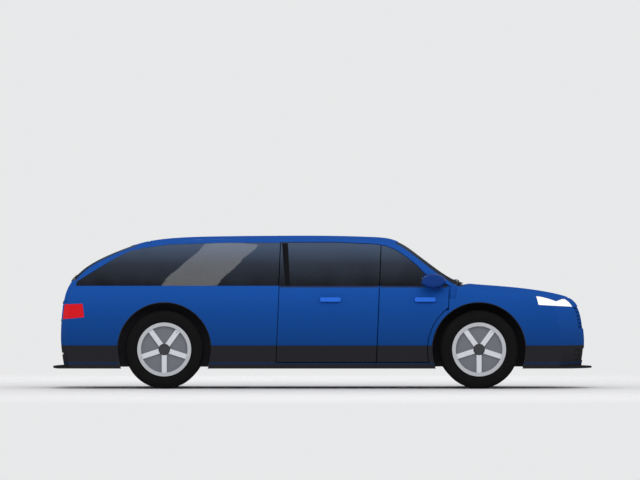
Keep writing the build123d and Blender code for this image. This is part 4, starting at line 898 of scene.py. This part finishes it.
# ---------------------------------------------------------------- tail
patch_on("third_brake_light", tail, rectangle((-0.16, 1.354), (0.16, 1.368)), 0.0025, RED_STRIP, (20, 4),
         "tailgate")
patch_on("tailgate_grip", tail, [(-0.22, 0.792), (0.22, 0.792), (0.21, 0.822), (-0.21, 0.822)], 0.0060,
         GLOSS_BLACK, (24, 5), "tailgate")
strip_on("tailgate_crease", tail, [(-0.49, 0.772), (0.49, 0.772)], 0.012, 0.0030, PAINT, "tailgate")
rear_end = Surface(("rear_bumper",), (1, 0, 0), -3.5)
for side, sign in SIDES:
    reflector = rectangle((sign * 0.36, 0.318), (sign * 0.54, 0.338))
    patch_on(f"rear_reflector_{side}", rear_end, reflector, 0.0030, RED_STRIP, (14, 4))
    lamp = rectangle((sign * 0.12, 0.262), (sign * 0.24, 0.286))
    patch_on(f"reversing_lamp_{side}", rear_end, lamp, 0.0012, HEADLAMP, (10, 4))
strip_on("rear_window_seal", tail, [(-0.497, 1.342), (-0.571, 1.023), (0.571, 1.023), (0.497, 1.342)], 0.010,
         0.0018, RUBBER, "tailgate", closed=True)


# ---------------------------------------------------------------- seats
SEATS_LOW, SEATS_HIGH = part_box("seats")
SEAT_FOOT = SEATS_LOW.z
FRONT_HIP, REAR_HIP = SEATS_HIGH.x - 0.450, SEATS_LOW.x + 0.393
# The hip's x, the seat's distance from the middle, and its half width
SEAT_ROWS = {"front": (FRONT_HIP, 0.370, 0.185), "rear": (REAR_HIP, 0.330, 0.295)}
THREAD_PITCH = 0.009
SEWN_SHARE = 0.58               # of the half width, out to the sewn border
CLOTH_FRAMES = 20


def settled(obj):
    """Applies every modifier of a piece."""
    shape = bpy.data.meshes.new_from_object(obj.evaluated_get(bpy.context.evaluated_depsgraph_get()))
    obj.modifiers.clear()
    obj.data = shape


def stuffed(obj, most):
    """Blows a mesh up as cloth, and holds its points to the most that they may move."""
    start = [v.co.copy() for v in obj.data.vertices]
    cloth = obj.modifiers.new("stuffing", "CLOTH")
    cloth.settings.use_pressure = True
    cloth.settings.uniform_pressure_force = 4.0
    cloth.settings.effector_weights.gravity = 0.0
    cloth.collision_settings.use_collision = False
    cloth.point_cache.frame_start = 1
    cloth.point_cache.frame_end = CLOTH_FRAMES
    for number in range(1, CLOTH_FRAMES + 1):
        bpy.context.scene.frame_set(number)
    settled(obj)
    bpy.context.scene.frame_set(1)
    for v, was in zip(obj.data.vertices, start):
        move = v.co - was
        if move.length > most:
            v.co = was + move * (most / move.length)


def stuffed_pad(name, size, edge, bolster, taper, most, voxel):
    """A pad along local X and across local Y, faced along local Z: an even mesh, blown up as cloth."""
    half_length, half_width, half_height = [length / 2 for length in size]
    work = bmesh.new()
    bmesh.ops.create_cube(work, size=1.0)
    for v in work.verts:
        v.co *= Vector(size)
    bmesh.ops.bevel(work, geom=work.edges[:], offset=edge, segments=4, profile=0.6, affect="EDGES")
    obj = in_scene(name, mesh_of(name, work))
    remesh = obj.modifiers.new("even_mesh", "REMESH")
    remesh.mode = "VOXEL"
    remesh.voxel_size = voxel
    settled(obj)
    for v in obj.data.vertices:
        v.co.z *= 1 + (taper - 1) * (v.co.x / half_length + 1) / 2
        side = (abs(v.co.y) / half_width - SEWN_SHARE) / (1 - SEWN_SHARE)
        if bolster and 0 < side < 1 and v.co.z > 0:
            v.co.z += bolster * math.sin(math.pi * side) * min(1.0, v.co.z / half_height)
    stuffed(obj, most)
    obj.modifiers.new("finer", "SUBSURF").levels = 1
    settled(obj)
    return obj


def sew(obj, size, across_at, border_share, depth, width=0.008):
    """Presses sewn channels into a pad's face, and returns them as lines over its length and width."""
    half_length, border = size[0] / 2, border_share * size[1] / 2
    end = half_length * 0.86
    lines = [[(-end, sign * border), (end, sign * border)] for sign in (1, -1)]
    lines += [[(half_length * at, -border), (half_length * at, border)] for at in across_at]
    normals = [v.normal.copy() for v in obj.data.vertices]
    for v, normal in zip(obj.data.vertices, normals):
        if normal.z < 0.2:
            continue
        near = [abs(abs(v.co.y) - border)]
        if abs(v.co.y) < border:
            near += [abs(v.co.x - half_length * at) for at in across_at]
        v.co.z -= depth * math.exp(-(min(near) / width) ** 2)
    return lines


def stitches(name, mesh, lines, matrix):
    """Short threads in a row along each sewn channel."""
    tree = mesh_tree(mesh)
    points, faces = [], []
    up, down = Vector((0, 0, 0.0022)), Vector((0, 0, -0.0006))
    for a, b in lines:
        a, b = Vector(a), Vector(b)
        tangent = (b - a).normalized()
        side = Vector((-tangent.y, tangent.x, 0)) * 0.0012
        for k in range(int((b - a).length / THREAD_PITCH)):
            places = [a + tangent * (THREAD_PITCH * share) for share in (k + 0.15, k + 0.80)]
            ends = [tree.ray_cast(Vector((*place, 1.0)), Vector((0, 0, -1)))[0] for place in places]
            if None in ends:
                continue
            faces += [[len(points) + i for i in face] for face in ring_faces(2, 4, closed=False)]
            for end in ends:
                points += [end + side + down, end - side + down, end - side * 0.5 + up, end + side * 0.5 + up]
    mesh_piece(name, [matrix @ p for p in points], faces, THREAD, sharp_angle=None)


def cushion_place(hip, y):
    return axes((0.992, 0, 0.127), (-0.127, 0, 0.992), (hip + 0.170, y, SEAT_FOOT + 0.128))


def backrest_place(hip, y):
    return axes((-0.346, 0, 0.938), (0.938, 0, 0.346), (hip - 0.186, y, SEAT_FOOT + 0.432))


def headrest_place(hip, y):
    return axes((-0.174, 0, 0.985), (0.985, 0, 0.174), (hip - 0.353, y, SEAT_FOOT + 0.812))


def upholster(obj, materials, border=0.0):
    """The first material inside the sewn border of a pad's face, and the last on the rest."""
    obj.data.materials.clear()
    for material in materials:
        obj.data.materials.append(material)
    for polygon in obj.data.polygons:
        polygon.use_smooth = True
        inside = abs(polygon.center.y) < border and polygon.normal.z > 0.3
        polygon.material_index = 0 if inside else len(materials) - 1


def place_pad(obj, matrix):
    obj.data.transform(matrix)
    finish_piece(obj, "body")


CUSHION_SEAMS, BACKREST_SEAMS = (-0.55, -0.05, 0.45), (-0.60, -0.20, 0.20, 0.60)
# size, edge, bolster, taper, most that a point moves, voxel; seams, border's share, seam's depth; place
PADS = {
    "front_cushion": (((0.500, 0.385, 0.090), 0.036, 0.022, 1.0, 0.022, 0.011),
                      (CUSHION_SEAMS, SEWN_SHARE, 0.008), cushion_place),
    "front_backrest": (((0.545, 0.385, 0.088), 0.036, 0.022, 0.74, 0.016, 0.011),
                       (BACKREST_SEAMS, SEWN_SHARE, 0.008), backrest_place),
    "front_headrest": (((0.100, 0.226, 0.054), 0.020, 0.0, 1.0, 0.010, 0.008),
                       ((), 0.80, 0.004), headrest_place),
    "rear_cushion": (((0.500, 0.615, 0.090), 0.036, 0.014, 1.0, 0.022, 0.012),
                     (CUSHION_SEAMS, SEWN_SHARE, 0.008), cushion_place),
    "rear_backrest": (((0.545, 0.615, 0.088), 0.036, 0.014, 0.74, 0.016, 0.012),
                      (BACKREST_SEAMS, SEWN_SHARE, 0.008), backrest_place),
}
for kind, (form, seams, placing) in PADS.items():
    size = form[0]
    hip, seat_y, _ = SEAT_ROWS[kind.split("_")[0]]
    pad = stuffed_pad(f"{kind}_left", *form)
    lines = sew(pad, size, *seams)
    upholster(pad, (SEAT_CLOTH, SEAT_SIDE), seams[1] * size[1] / 2)
    shape = pad.data
    copies = {kind: (hip, seat_y)}
    if kind == "front_headrest":
        copies["rear_headrest"] = SEAT_ROWS["rear"][:2]
    for side, sign in SIDES:
        stitches(f"{kind}_thread_{side}", shape, lines, placing(hip, sign * seat_y))
        for copy, (copy_hip, y) in copies.items():
            name = f"{copy}_{side}"
            piece = pad if name == pad.name else in_scene(name, shape)
            piece.data = shape.copy()
            place_pad(piece, placing(copy_hip, sign * y))
            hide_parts("seats")


def seat_frame(row, side, hip, y, inner_y, half):
    """A seat's plinth, back shell, headrest stalks and buckle."""
    def spot(x, side_y, z):
        return Vector((hip + x, side_y, SEAT_FOOT + z))

    block(f"{row}_seat_plinth_{side}", spot(-0.080, y - half, 0.004), spot(0.405, y + half, 0.085),
          BLACK_PLASTIC, 0.012, taper=0.96)
    shell = axes((-0.297, 0, 0.955), (0.955, 0, 0.297), spot(-0.150, y, 0.120))
    block(f"{row}_seat_shell_{side}", (0.02, -half, 0.006), (0.59, half, 0.030), SEAT_SIDE, 0.010, turn=shell)
    for k in (-1, 1):
        stalk_y = y + k * 0.07
        stalk = [spot(-0.290, stalk_y, 0.690), spot(-0.346, stalk_y, 0.790)]
        tube(f"{row}_headrest_stalk_{side}_{k + 1}", stalk, 0.006, SILVER)
        lathe(f"{row}_stalk_guide_{side}_{k + 1}", [(0.0065, 0), (0.013, 0), (0.012, 0.006), (0.0065, 0.007)],
              upright(spot(-0.300, stalk_y, 0.716)), BLACK_PLASTIC, 20)
    block(f"{row}_buckle_{side}", spot(-0.030, inner_y - 0.011, 0.130), spot(0.006, inner_y + 0.011, 0.235),
          BLACK_PLASTIC, 0.005)
    block(f"{row}_buckle_button_{side}", spot(-0.026, inner_y - 0.008, 0.233),
          spot(0.002, inner_y + 0.008, 0.238), RED_STRIP, 0.002)


for row, (hip, seat_y, half) in SEAT_ROWS.items():
    for side, sign in SIDES:
        seat_frame(row, side, hip, sign * seat_y, sign * (seat_y - half - 0.020), half)

# ---------------------------------------------------------------- steering wheel
COLUMN = math.radians(24)
RING_PLACE = axes((0, -1, 0), (-math.cos(COLUMN), 0, math.sin(COLUMN)), (0.690, 0.370, 0.800))
RING_SIZE, GRIP_WIDTH, GRIP_HEIGHT = 0.186, 0.0165, 0.0145
section = [(RING_SIZE + GRIP_WIDTH * x, GRIP_HEIGHT * y) for x, y in circle(1.0, 20)]
rim_piece = lathe("steering_rim", section, RING_PLACE, SEAT_SIDE, 96, "steering_wheel")
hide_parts("steering_wheel")
lathe("steering_hub_pad", [(0, 0.030), (0.030, 0.0295), (0.056, 0.025), (0.071, 0.014), (0.074, 0),
                           (0.070, -0.022), (0, -0.024)], RING_PLACE, SOFT_DASH, 64, "steering_wheel")
lathe("steering_hub_ring", [(0.030, 0.0296), (0.0335, 0.0300), (0.0350, 0.0288), (0.0300, 0.0280)],
      RING_PLACE, SILVER, 48, "steering_wheel")
for k, turn in enumerate((180, 0, 270)):
    spoke = RING_PLACE @ Matrix.Rotation(math.radians(turn), 4, "Z")
    block(f"steering_spoke_{k}", (0.055, -0.021, -0.012), (0.176, 0.021, 0.006), SOFT_DASH, 0.006,
          turn=spoke, body="steering_wheel")
    block(f"steering_spoke_inlay_{k}", (0.082, -0.012, 0.005), (0.160, 0.012, 0.009), SILVER, 0.0018,
          turn=spoke, body="steering_wheel")
tube("steering_shaft", [RING_PLACE @ Vector((0, 0, z)) for z in (-0.020, -0.130)], 0.0155, STEEL, 24,
     "steering_wheel")
for side, sign in SIDES:
    line = [(-sign * x, 0.010, z) for x, z in ((0.040, -0.052), (0.120, -0.046), (0.150, -0.040))]
    tube(f"column_lever_{side}", along([RING_PLACE @ Vector(p) for p in line], 0.02), 0.0065, BLACK_PLASTIC)

# ---------------------------------------------------------------- dashboard, console and pedals
DASH_X = 0.8435                 # the dashboard's face behind its knobs
DECK_TOP = 0.475                # the foot of what stands on the console
block("instrument_hood", (0.842, 0.235, 0.866), (0.950, 0.505, 0.942), SOFT_DASH, 0.022, taper=0.94)
block("instrument_face", (0.8395, 0.257, 0.876), (0.846, 0.483, 0.926), SCREEN_OFF, 0.002)
for k, y in enumerate((0.315, 0.425)):
    lathe(f"dial_ring_{k}", [(0.0205, 0), (0.0225, 0), (0.0225, 0.0030), (0.0205, 0.0022)],
          facing_rear((0.8398, y, 0.901)), SILVER)
    block(f"dial_needle_{k}", (0.8375, y - 0.0008, 0.899), (0.8390, y + 0.0008, 0.918), RED_STRIP, 0.0003)
block("centre_display", (0.834, -0.135, 0.800), (0.848, 0.135, 0.945), GLOSS_BLACK, 0.006)
block("centre_display_glass", (0.8325, -0.125, 0.811), (0.8352, 0.125, 0.934), SCREEN_OFF, 0.001)


def vent(name, y, z, half_y, half_z):
    """An air vent: a frame, four slats and a thumb tab."""
    corners = rectangle((y - half_y, z - half_z), (y + half_y, z + half_z))
    line = [(0.8455, *corner) for corner in corners + corners[:1]]
    tube(f"{name}_frame", along(line, 0.03)[:-1], 0.0035, SILVER, 8, closed=True)
    for k in range(4):
        slat = tilted((0.848, y, z + half_z * (2 * (k + 1) / 5 - 1)), 25)
        block(f"{name}_slat_{k}", (-0.007, -half_y, -0.0008), (0.007, half_y, 0.0008), BLACK_PLASTIC, 0.0005,
              turn=slat)
    block(f"{name}_tab", (0.838, y - 0.004, z - 0.009), (0.846, y + 0.004, z + 0.009), SILVER, 0.0015)


for k, y in enumerate((-0.680, -0.215, 0.215, 0.680)):
    vent(f"vent_{k}", y, 0.812, 0.055, 0.022)
block("glovebox_lid", (0.8445, -0.620, 0.762), (0.8515, -0.270, 0.785), SOFT_DASH, 0.003)
block("climate_panel", (0.843, -0.125, 0.762), (0.851, 0.125, 0.792), GLOSS_BLACK, 0.002)
for k, y in enumerate((-0.095, 0.095)):
    lathe(f"climate_knob_{k}", [(0, 0.016), (0.011, 0.016), (0.013, 0.012), (0.0135, 0), (0, 0)],
          facing_rear((DASH_X, y, 0.777)), SILVER, 32)
block("centre_console", (-0.280, -0.105, 0.372), (0.905, 0.105, 0.470), SOFT_DASH, 0.018)
block("console_deck", (0.080, -0.080, 0.466), (0.780, 0.080, 0.476), GLOSS_BLACK, 0.003)
armrest = stuffed_pad("console_armrest", (0.300, 0.180, 0.040), 0.016, 0.0, 1.0, 0.008, 0.008)
upholster(armrest, (SEAT_SIDE,))
place_pad(armrest, upright((-0.115, 0, 0.497)))
for k, x in enumerate((0.150, 0.245)):
    holder = upright((x, 0, DECK_TOP))
    lathe(f"cup_ring_{k}", [(0.036, 0), (0.041, 0), (0.041, 0.004), (0.038, 0.005), (0.036, 0.003)], holder,
          SILVER)
    lathe(f"cup_well_{k}", [(0, 0.0004), (0.036, 0.0004), (0.036, 0.0016), (0, 0.0016)], holder, RUBBER)
gear_place = axes((1, 0, 0), (0.12, 0, 0.99), (0.420, 0, DECK_TOP))
lathe("gear_gaiter", [(0, 0.050), (0.012, 0.050), (0.018, 0.040), (0.016, 0.034), (0.024, 0.026),
                      (0.022, 0.020), (0.033, 0.010), (0.040, 0), (0, 0)], gear_place, SEAT_SIDE, 40)
lathe("gear_knob", [(0, 0.108), (0.012, 0.107), (0.021, 0.100), (0.024, 0.088), (0.019, 0.070),
                    (0.010, 0.058), (0.007, 0.045), (0, 0.045)], gear_place, SEAT_SIDE, 40)
for k, (y, half_y, z) in enumerate(((0.265, 0.030, 0.375), (0.345, 0.034, 0.375), (0.470, 0.034, 0.385))):
    block(f"pedal_{k}", (-0.006, -half_y, -0.034), (0.006, half_y, 0.034), RUBBER, 0.004,
          turn=tilted((0.985, y, z), -35))
    arm = [(0.990, y, z + 0.01), (1.030, y, z + 0.12), (1.050, y, z + 0.24)]
    tube(f"pedal_arm_{k}", along(arm, 0.05), 0.007, STEEL, 10)

# ---------------------------------------------------------------- lining, carpets and door trim
CLOTH_HEIGHT = 0.006            # of linings, mats and door cards
under_roof = Surface(("roof_panel",), (0, 0, 1), 1.10)
on_floor = Surface(("floor_pan",), (0, 0, -1), 0.55)
load_deck = Surface(("floor_pan",), (0, 0, -1), 0.85)
patch_on("headliner", under_roof, rectangle((-1.52, -0.50), (0.62, 0.50)), CLOTH_HEIGHT, LINING, (30, 16))
block("mirror_inside", (0.752, -0.115, 1.238), (0.772, 0.115, 1.292), BLACK_PLASTIC, 0.009)
block("mirror_inside_glass", (0.7495, -0.106, 1.245), (0.753, 0.106, 1.285), MIRROR_GLASS, 0.001)
tube("mirror_inside_stem", [(0.770, 0, 1.285), (0.790, 0, 1.306)], 0.008, BLACK_PLASTIC)
for side, sign in SIDES:
    block(f"sun_visor_{side}", (-0.075, -0.165, -0.008), (0.075, 0.165, 0.006), LINING, 0.006,
          turn=tilted((0.600, sign * 0.335, 1.345), 10))
    for row, rear_x, front_x, outer_y in (("front", 0.52, 0.98, 0.60), ("rear", -0.34, -0.06, 0.62)):
        mat = rectangle((rear_x, sign * 0.20), (front_x, sign * outer_y))
        patch_on(f"{row}_mat_{side}", on_floor, mat, CLOTH_HEIGHT, CARPET, (14, 14))
patch_on("load_carpet", load_deck, rectangle((-2.36, -0.60), (-1.28, 0.60)), CLOTH_HEIGHT, CARPET, (30, 30))
for k in range(5):
    y = -0.40 + 0.20 * k
    deck = load_deck.at(-2.0, y).z
    block(f"load_runner_{k}", (-2.34, y - 0.008, deck + 0.005), (-1.32, y + 0.008, deck + 0.010),
          BLACK_PLASTIC, 0.002)


def door_trim(door, side, sign, corners, rest_x, speaker_x):
    """A door's card, armrest with switches, pull handle and speaker."""
    body = f"{door}_door_{side}"
    inside = Surface((f"door_{door}_{side}",), (0, sign, 0), 0.0)
    rear_x, front_x = rest_x
    wall = abs(inside.at((rear_x + front_x) / 2, 0.70).y)
    low_y, high_y = sorted((sign * (wall - 0.060), sign * (wall - 0.002)))
    switch_y = sign * (wall - 0.034)
    patch_on(f"{door}_door_card_{side}", inside, corners, CLOTH_HEIGHT, LINING, (12, 12), body)
    block(f"{door}_armrest_{side}", (rear_x, low_y, 0.675), (front_x, high_y, 0.725), SEAT_SIDE, 0.014,
          body=body)
    block(f"{door}_armrest_switches_{side}", (front_x - 0.10, switch_y - 0.016, 0.7235),
          (front_x - 0.03, switch_y + 0.016, 0.730), GLOSS_BLACK, 0.002, body=body)
    pull = [inside.at(rear_x + x, z, lift) for x, z, lift in
            ((0.02, 0.800, 0.008), (0.03, 0.806, 0.024), (0.11, 0.812, 0.026), (0.12, 0.812, 0.008))]
    tube(f"{door}_door_pull_{side}", along(pull, 0.02), 0.006, SILVER, body=body)
    lathe(f"{door}_speaker_{side}",
          [(0, 0.0045), (0.060, 0.0045), (0.064, 0.007), (0.072, 0.006), (0.076, 0), (0, 0)],
          axes((1, 0, 0), (0, -sign, 0), inside.at(speaker_x, 0.430, 0.006)), BLACK_PLASTIC, 56, body)


FRONT_CARD = [(0.60, 0.31), (0.90, 0.31), (1.06, 0.90), (0.60, 0.90)]
REAR_CARD = [(-0.33, 0.31), (0.44, 0.31), (0.46, 0.90), (-0.31, 0.90)]
for side, sign in SIDES:
    door_trim("front", side, sign, FRONT_CARD, (0.62, 0.90), 0.78)
    door_trim("rear", side, sign, REAR_CARD, (-0.26, 0.28), 0.10)

# ---------------------------------------------------------------- engine bay, bonnet and tailgate linings
ENGINE_LOW, ENGINE_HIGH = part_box("engine_block")
top = ENGINE_HIGH.z
block("engine_cover", (ENGINE_LOW.x + 0.05, -0.250, top - 0.010), (ENGINE_HIGH.x - 0.06, 0.250, top + 0.030),
      BLACK_PLASTIC, 0.016, taper=0.93)
for k in range(7):
    y = -0.180 + 0.060 * k
    block(f"engine_cover_rib_{k}", (ENGINE_LOW.x + 0.12, y - 0.007, top + 0.026),
          (ENGINE_HIGH.x - 0.13, y + 0.007, top + 0.034), BLACK_PLASTIC, 0.003)
lathe("oil_cap", [(0, 0.022), (0.022, 0.022), (0.026, 0.018), (0.026, 0), (0, 0)],
      upright((ENGINE_HIGH.x - 0.030, 0.200, top)), GLOSS_BLACK, 32)
block("battery", (1.870, 0.170, 0.505), (2.060, 0.420, 0.680), BLACK_PLASTIC, 0.008)
block("battery_lid", (1.868, 0.168, 0.678), (2.062, 0.422, 0.698), GLOSS_BLACK, 0.005)
for k, y in enumerate((0.205, 0.385)):
    lathe(f"battery_post_{k}", [(0, 0.014), (0.009, 0.014), (0.010, 0), (0, 0)],
          upright((2.030, y, 0.697)), NUT_STEEL, 20)
block("coolant_tank", (1.880, -0.430, 0.560), (2.030, -0.250, 0.700), TANK_WHITE, 0.020)
lathe("coolant_cap", [(0, 0.024), (0.020, 0.024), (0.024, 0.020), (0.024, 0), (0, 0)],
      upright((1.955, -0.340, 0.699)), BLACK_PLASTIC, 32)
block("air_box", (1.865, -0.190, 0.560), (2.080, 0.120, 0.690), BLACK_PLASTIC, 0.016)
duct = [(2.080, -0.04, 0.640), (2.130, -0.04, 0.650), (2.180, -0.04, 0.650)]
tube("intake_duct", along(duct, 0.02), 0.032, RUBBER, 20)
patch_on("bonnet_pad", Surface(("bonnet",), (0, 0, 1), 0.60),
         [(1.50, -0.50), (2.16, -0.42), (2.16, 0.42), (1.50, 0.50)], 0.005, CARPET, (20, 20), "bonnet")
patch_on("tailgate_lining", Surface(("tailgate",), (-1, 0, 0), -1.80),
         [(-0.44, 0.70), (0.44, 0.70), (0.52, 0.96), (-0.52, 0.96)], CLOTH_HEIGHT, LINING, (16, 10),
         "tailgate")

# ---------------------------------------------------------------- camera, light and floor
CAMERA_AT = Vector((-0.02375, -100.0, 1.401))
FRAME_WIDTH = 6.08
GLARE_FOOT = Vector((-1.355, 3.68, 3.82))        # the middle of each end of a strip light, on the left
GLARE_HEAD = Vector((-0.952, 2.61, 4.85))
GLARE_TARGET = Vector((-1.09, 0.76, 1.17))
GLARE_WIDTH, GLARE_SPARE, GLARE_POWER = 0.49, 0.14, 26
WORLD_LIGHT, BACKGROUND = 0.62, 0.82
FLOOR_HALF, FLOOR_FADE = 12.0, (3.5, 11.0)       # it fades out between two distances from the middle


def add_camera():
    data = bpy.data.cameras.new("camera")
    data.sensor_width = 36.0
    data.lens = data.sensor_width * abs(CAMERA_AT.y) / FRAME_WIDTH
    data.clip_start = 1.0
    data.clip_end = 1000.0
    camera = in_scene("camera", data)
    camera.location = CAMERA_AT
    camera.rotation_euler = (math.radians(90), 0, 0)
    bpy.context.scene.camera = camera


def add_area(name, place, target, size, power):
    """An area light that reflections don't see."""
    data = bpy.data.lights.new(name, "AREA")
    data.shape = "RECTANGLE"
    data.size, data.size_y = size
    data.energy = power
    light = in_scene(name, data)
    light.visible_glossy = False
    light.location = place
    light.rotation_euler = (Vector(target) - Vector(place)).to_track_quat("-Z", "Y").to_euler()
    return light


def add_glare(sign):
    """A slanted strip light that only reflections see, which lays a pale band on the rear side glass."""
    flip = Vector((1, sign, 1))
    foot, head, target = GLARE_FOOT * flip, GLARE_HEAD * flip, GLARE_TARGET * flip
    centre = (foot + head) / 2
    back = (centre - target).normalized()
    up = head - foot
    up = (up - back * up.dot(back)).normalized()
    size = (GLARE_WIDTH, (head - foot).length + GLARE_SPARE)
    light = add_area(f"glare_{sign + 1}", centre, target, size, GLARE_POWER)
    light.rotation_euler = Matrix((up.cross(back), up, back)).transposed().to_euler()
    light.visible_glossy = True
    light.visible_camera = light.visible_diffuse = light.visible_transmission = False


def add_world():
    """Even light, with a pale background for the camera, for reflections and through glass."""
    world = bpy.data.worlds.new("studio")
    bpy.context.scene.world = world
    world.use_nodes = True
    nodes, links = world.node_tree.nodes, world.node_tree.links
    path = nodes.new("ShaderNodeLightPath")
    seen = path.outputs["Is Camera Ray"]
    for ray in ("Is Glossy Ray", "Is Transmission Ray"):
        either = nodes.new("ShaderNodeMath")
        either.operation = "MAXIMUM"
        links.new(seen, either.inputs[0])
        links.new(path.outputs[ray], either.inputs[1])
        seen = either.outputs[0]
    strength = nodes.new("ShaderNodeMapRange")
    links.new(seen, strength.inputs["Value"])
    strength.inputs["To Min"].default_value = WORLD_LIGHT
    strength.inputs["To Max"].default_value = BACKGROUND
    nodes["Background"].inputs["Color"].default_value = (0.985, 0.99, 1.0, 1.0)
    links.new(strength.outputs[0], nodes["Background"].inputs["Strength"])


def add_floor():
    """A pale grey floor that fades out round its edge."""
    g = Graph("floor_paint")
    out = g.distance(g.axis("X"), g.axis("Y"))
    fade = g.map_range(out, *FLOOR_FADE, 1.0, 0.0, interpolation_type="SMOOTHSTEP")
    g.set(Base_Color=g.blend(g.noise(2.0, 3.0), (0.70, 0.70, 0.71, 1), (0.74, 0.74, 0.75, 1)),
          Roughness=0.9, Alpha=fade, Specular_IOR_Level=0.1)
    mesh = bpy.data.meshes.new("floor")
    corners = rectangle((-FLOOR_HALF, -FLOOR_HALF), (FLOOR_HALF, FLOOR_HALF))
    mesh.from_pydata([(x, y, 0) for x, y in corners], [], [(0, 1, 2, 3)])
    mesh.materials.append(g.material)
    in_scene("floor", mesh)


add_camera()
add_world()
add_floor()
for name, place, size, power in (
    ("key", (0.5, -11.0, 6.5), (12.0, 6.0), 650), ("back", (-0.5, 11.0, 6.5), (12.0, 6.0), 650),
    ("front_fill", (12.0, 0, 4.0), (8.0, 5.0), 330), ("rear_fill", (-12.0, 0, 4.0), (8.0, 5.0), 330),
):
    add_area(name, place, (0, 0, 0.6), size, power)
for _, sign in SIDES:
    add_glare(sign)
bpy.context.scene.view_settings.view_transform = "Standard"
